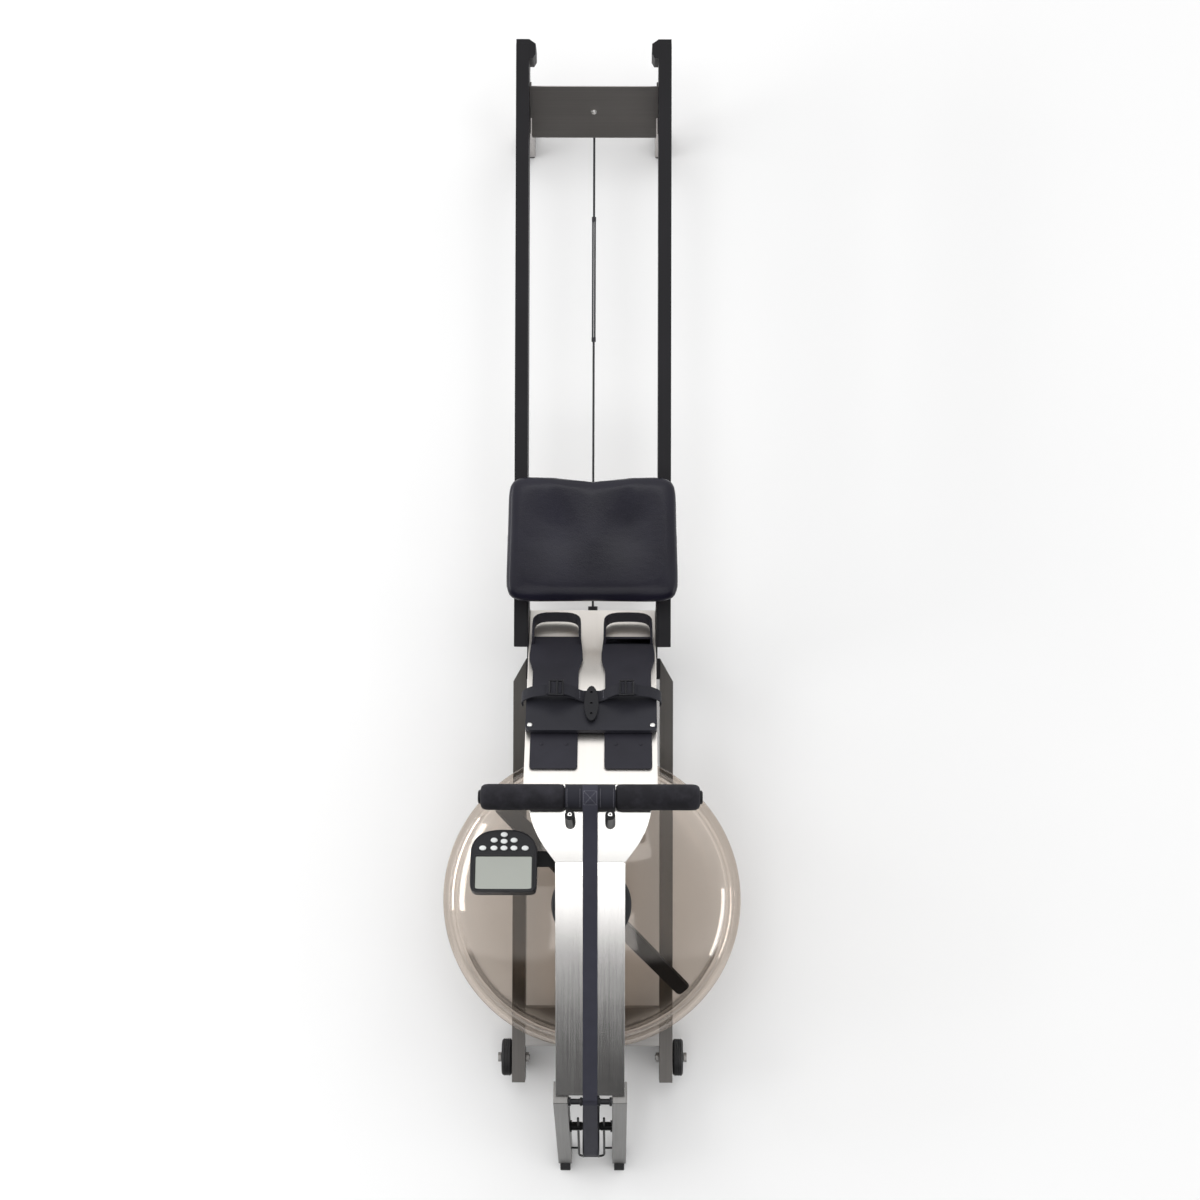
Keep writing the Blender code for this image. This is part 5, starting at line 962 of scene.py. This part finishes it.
lcd = Finish("lcd_window", (0.24, 0.255, 0.225), 0.22, 0.0, coat_weight=0.3, coat_roughness=0.06)
# Painted reflection: the window is painted lighter towards one corner, a gradient that stands in for light
# on the glass, with a little random mottling on top.
shade = (lcd.along((0.5, 0.8, 0)) * 9 + 3.7).clamped()
lcd.tint(shade * 0.5 + lcd.noise(14) * 0.3, (0.31, 0.325, 0.295))
GLASS_UNDER, GLASS_TOP = -0.0014, -0.0002
glass = [rounded_ring(LCD_W, LCD_H, LCD_Y, 0.0025, GLASS_UNDER),
         rounded_ring(LCD_W, LCD_H, LCD_Y, 0.0025, -0.0005),
         rounded_ring(LCD_W - 0.0004, LCD_H - 0.0004, LCD_Y, 0.0023, GLASS_TOP),
         rounded_ring(LCD_W - 0.0012, LCD_H - 0.0012, LCD_Y, 0.0019, GLASS_TOP)]
under, over = (np.broadcast_to(np.array([0, LCD_Y, h]), glass[0].shape) for h in (GLASS_UNDER, GLASS_TOP))
window = on_monitor(np.stack([under, *glass, over]))
shown(surface("monitor_window", window, lcd.material, around=True, crease=40), "frame", "monitor_lens")

key_plastic = Finish("key_plastic", (0.74, 0.755, 0.745), 0.45)
key_plastic.relief(key_plastic.noise(1500), 0.00003)
key_plastic.tint(key_plastic.noise(90).clamped(), (0.62, 0.64, 0.64))
KEYS = [(0.0, 0.0455), (0.0, 0.0335), (0.0, 0.0215), (-0.0172, 0.0355), (0.0172, 0.0355), (-0.0172, 0.0215),
        (0.0172, 0.0215), (-0.0366, 0.0215), (0.0366, 0.0215)]
KEY_HALF_WIDE, KEY_HALF_LONG = 0.0060, 0.0043
key_rows = [(0.0, -0.003), (1.0, -0.003), (1.0, 0.0004), (0.97, 0.0009), (0.86, 0.00145), (0.6, 0.0018),
            (0.3, 0.0019), (0.0, 0.0019)]
well_rows = [(1.30, -0.0008), (1.26, 0.0002), (1.08, 0.0001), (1.06, -0.0008)]


def key_oval(x, y, rows):
    """Rings of one oval about (x, y), each scaled by its share and lifted to its height."""
    turns = np.linspace(0, 2 * pi, 48, endpoint=False)
    share, height = np.array(rows).T[:, :, None]
    across = x + KEY_HALF_WIDE * share * np.cos(turns)
    along = y + KEY_HALF_LONG * share * np.sin(turns)
    return on_monitor(np.stack(np.broadcast_arrays(across, along, height), -1))


for number, (x, y) in enumerate(KEYS, 1):
    cap = surface("key_cap_%d" % number, key_oval(x, y, key_rows), key_plastic.material, around=True)
    shown(cap, "key_%d" % number, "button_%d" % number)
    well = surface("key_well_%d" % number, key_oval(x, y, well_rows), case_plastic, around=True, along=True)
    shown(well, "frame")
softened("monitor_bracket", 0.0006, [powder_coat("bracket_coat", (0.014, 0.014, 0.015))])


# ---- Transport wheels ---------------------------------------------------------------------------------
# Solid rubber wheels outside the beams, each on a bolt with a hexagon head outside and a nut inside.
tyre_rubber = rubber("tyre_rubber", (0.016, 0.016, 0.017), 0.7)
bolt_steel = brushed_steel("bolt_steel", (0.30, 0.29, 0.28), (400, 400, 400), 0.32)
for node in ("wheel_left", "wheel_right"):
    low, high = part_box(node)
    r, w = (high.z - low.z) / 2, (high.x - low.x) / 2 - 0.001
    tread = [(r - 0.0035, w), (r - 0.0008, w - 0.0022)]
    for h in np.linspace(w - 0.0045, 0.0045 - w, 4):
        tread += [(r, h + 0.0012), (r, h - 0.0009), (r - 0.0011, h - 0.0012), (r - 0.0011, h - 0.0020)]
    tread += [(r - 0.0008, 0.0022 - w), (r - 0.0035, -w), (0.022, -w), (0.020, 0.002 - w),
              (0.011, 0.002 - w), (0.010, -w - 0.001), (0.0054, -w - 0.001), (0.0054, w + 0.001),
              (0.010, w + 0.001), (0.011, w - 0.002), (0.020, w - 0.002), (0.022, w)]
    tread, centre = eased(tread, 0.0005, 2), (low + high) / 2
    shown(turned(node + "_tyre", tread, centre, (1, 0, 0), tyre_rubber, 128, ring=True),
          "transport_" + node, node)
for node in ("wheel_bolt_left", "wheel_bolt_right"):
    softened(node, 0.0006, [bolt_steel])


# ---- Return cord --------------------------------------------------------------------------------------
# Elastic cord in a braided sleeve, pulled tight from the spool under the drum, through a fairlead below
# the footboard and a doubled length held by two ferrules, to a wire hook in the rear plate.
def braid(name, colour):
    """A braided sleeve: two sets of diagonal strands from sine waves along and round the cord."""
    finish = Finish(name, colour, 0.7, 0.0, sheen_weight=0.2)
    strands = (finish.along((0.7, 0.72, 0.1)) * (2 * pi / 0.0017)).sine()
    other = (finish.along((-0.7, 0.72, 0.1)) * (2 * pi / 0.0017)).sine()
    weave = strands * 0.25 + other * 0.25 + 0.5
    finish.relief(weave, 0.00025)
    finish.tint((weave * 1.3 - 0.35).clamped(), tuple(c * 3 for c in colour))
    return finish.material


HOOK_FROM_Y, HOOK_FROM_Z = 0.9135, 0.196
softened("shock_cord", 0.0002, [braid("cord_braid", (0.016, 0.016, 0.019)), screw_steel],
         lambda c: (c[:, 1] > HOOK_FROM_Y) & (c[:, 2] > HOOK_FROM_Z), segments=1, angle=70)
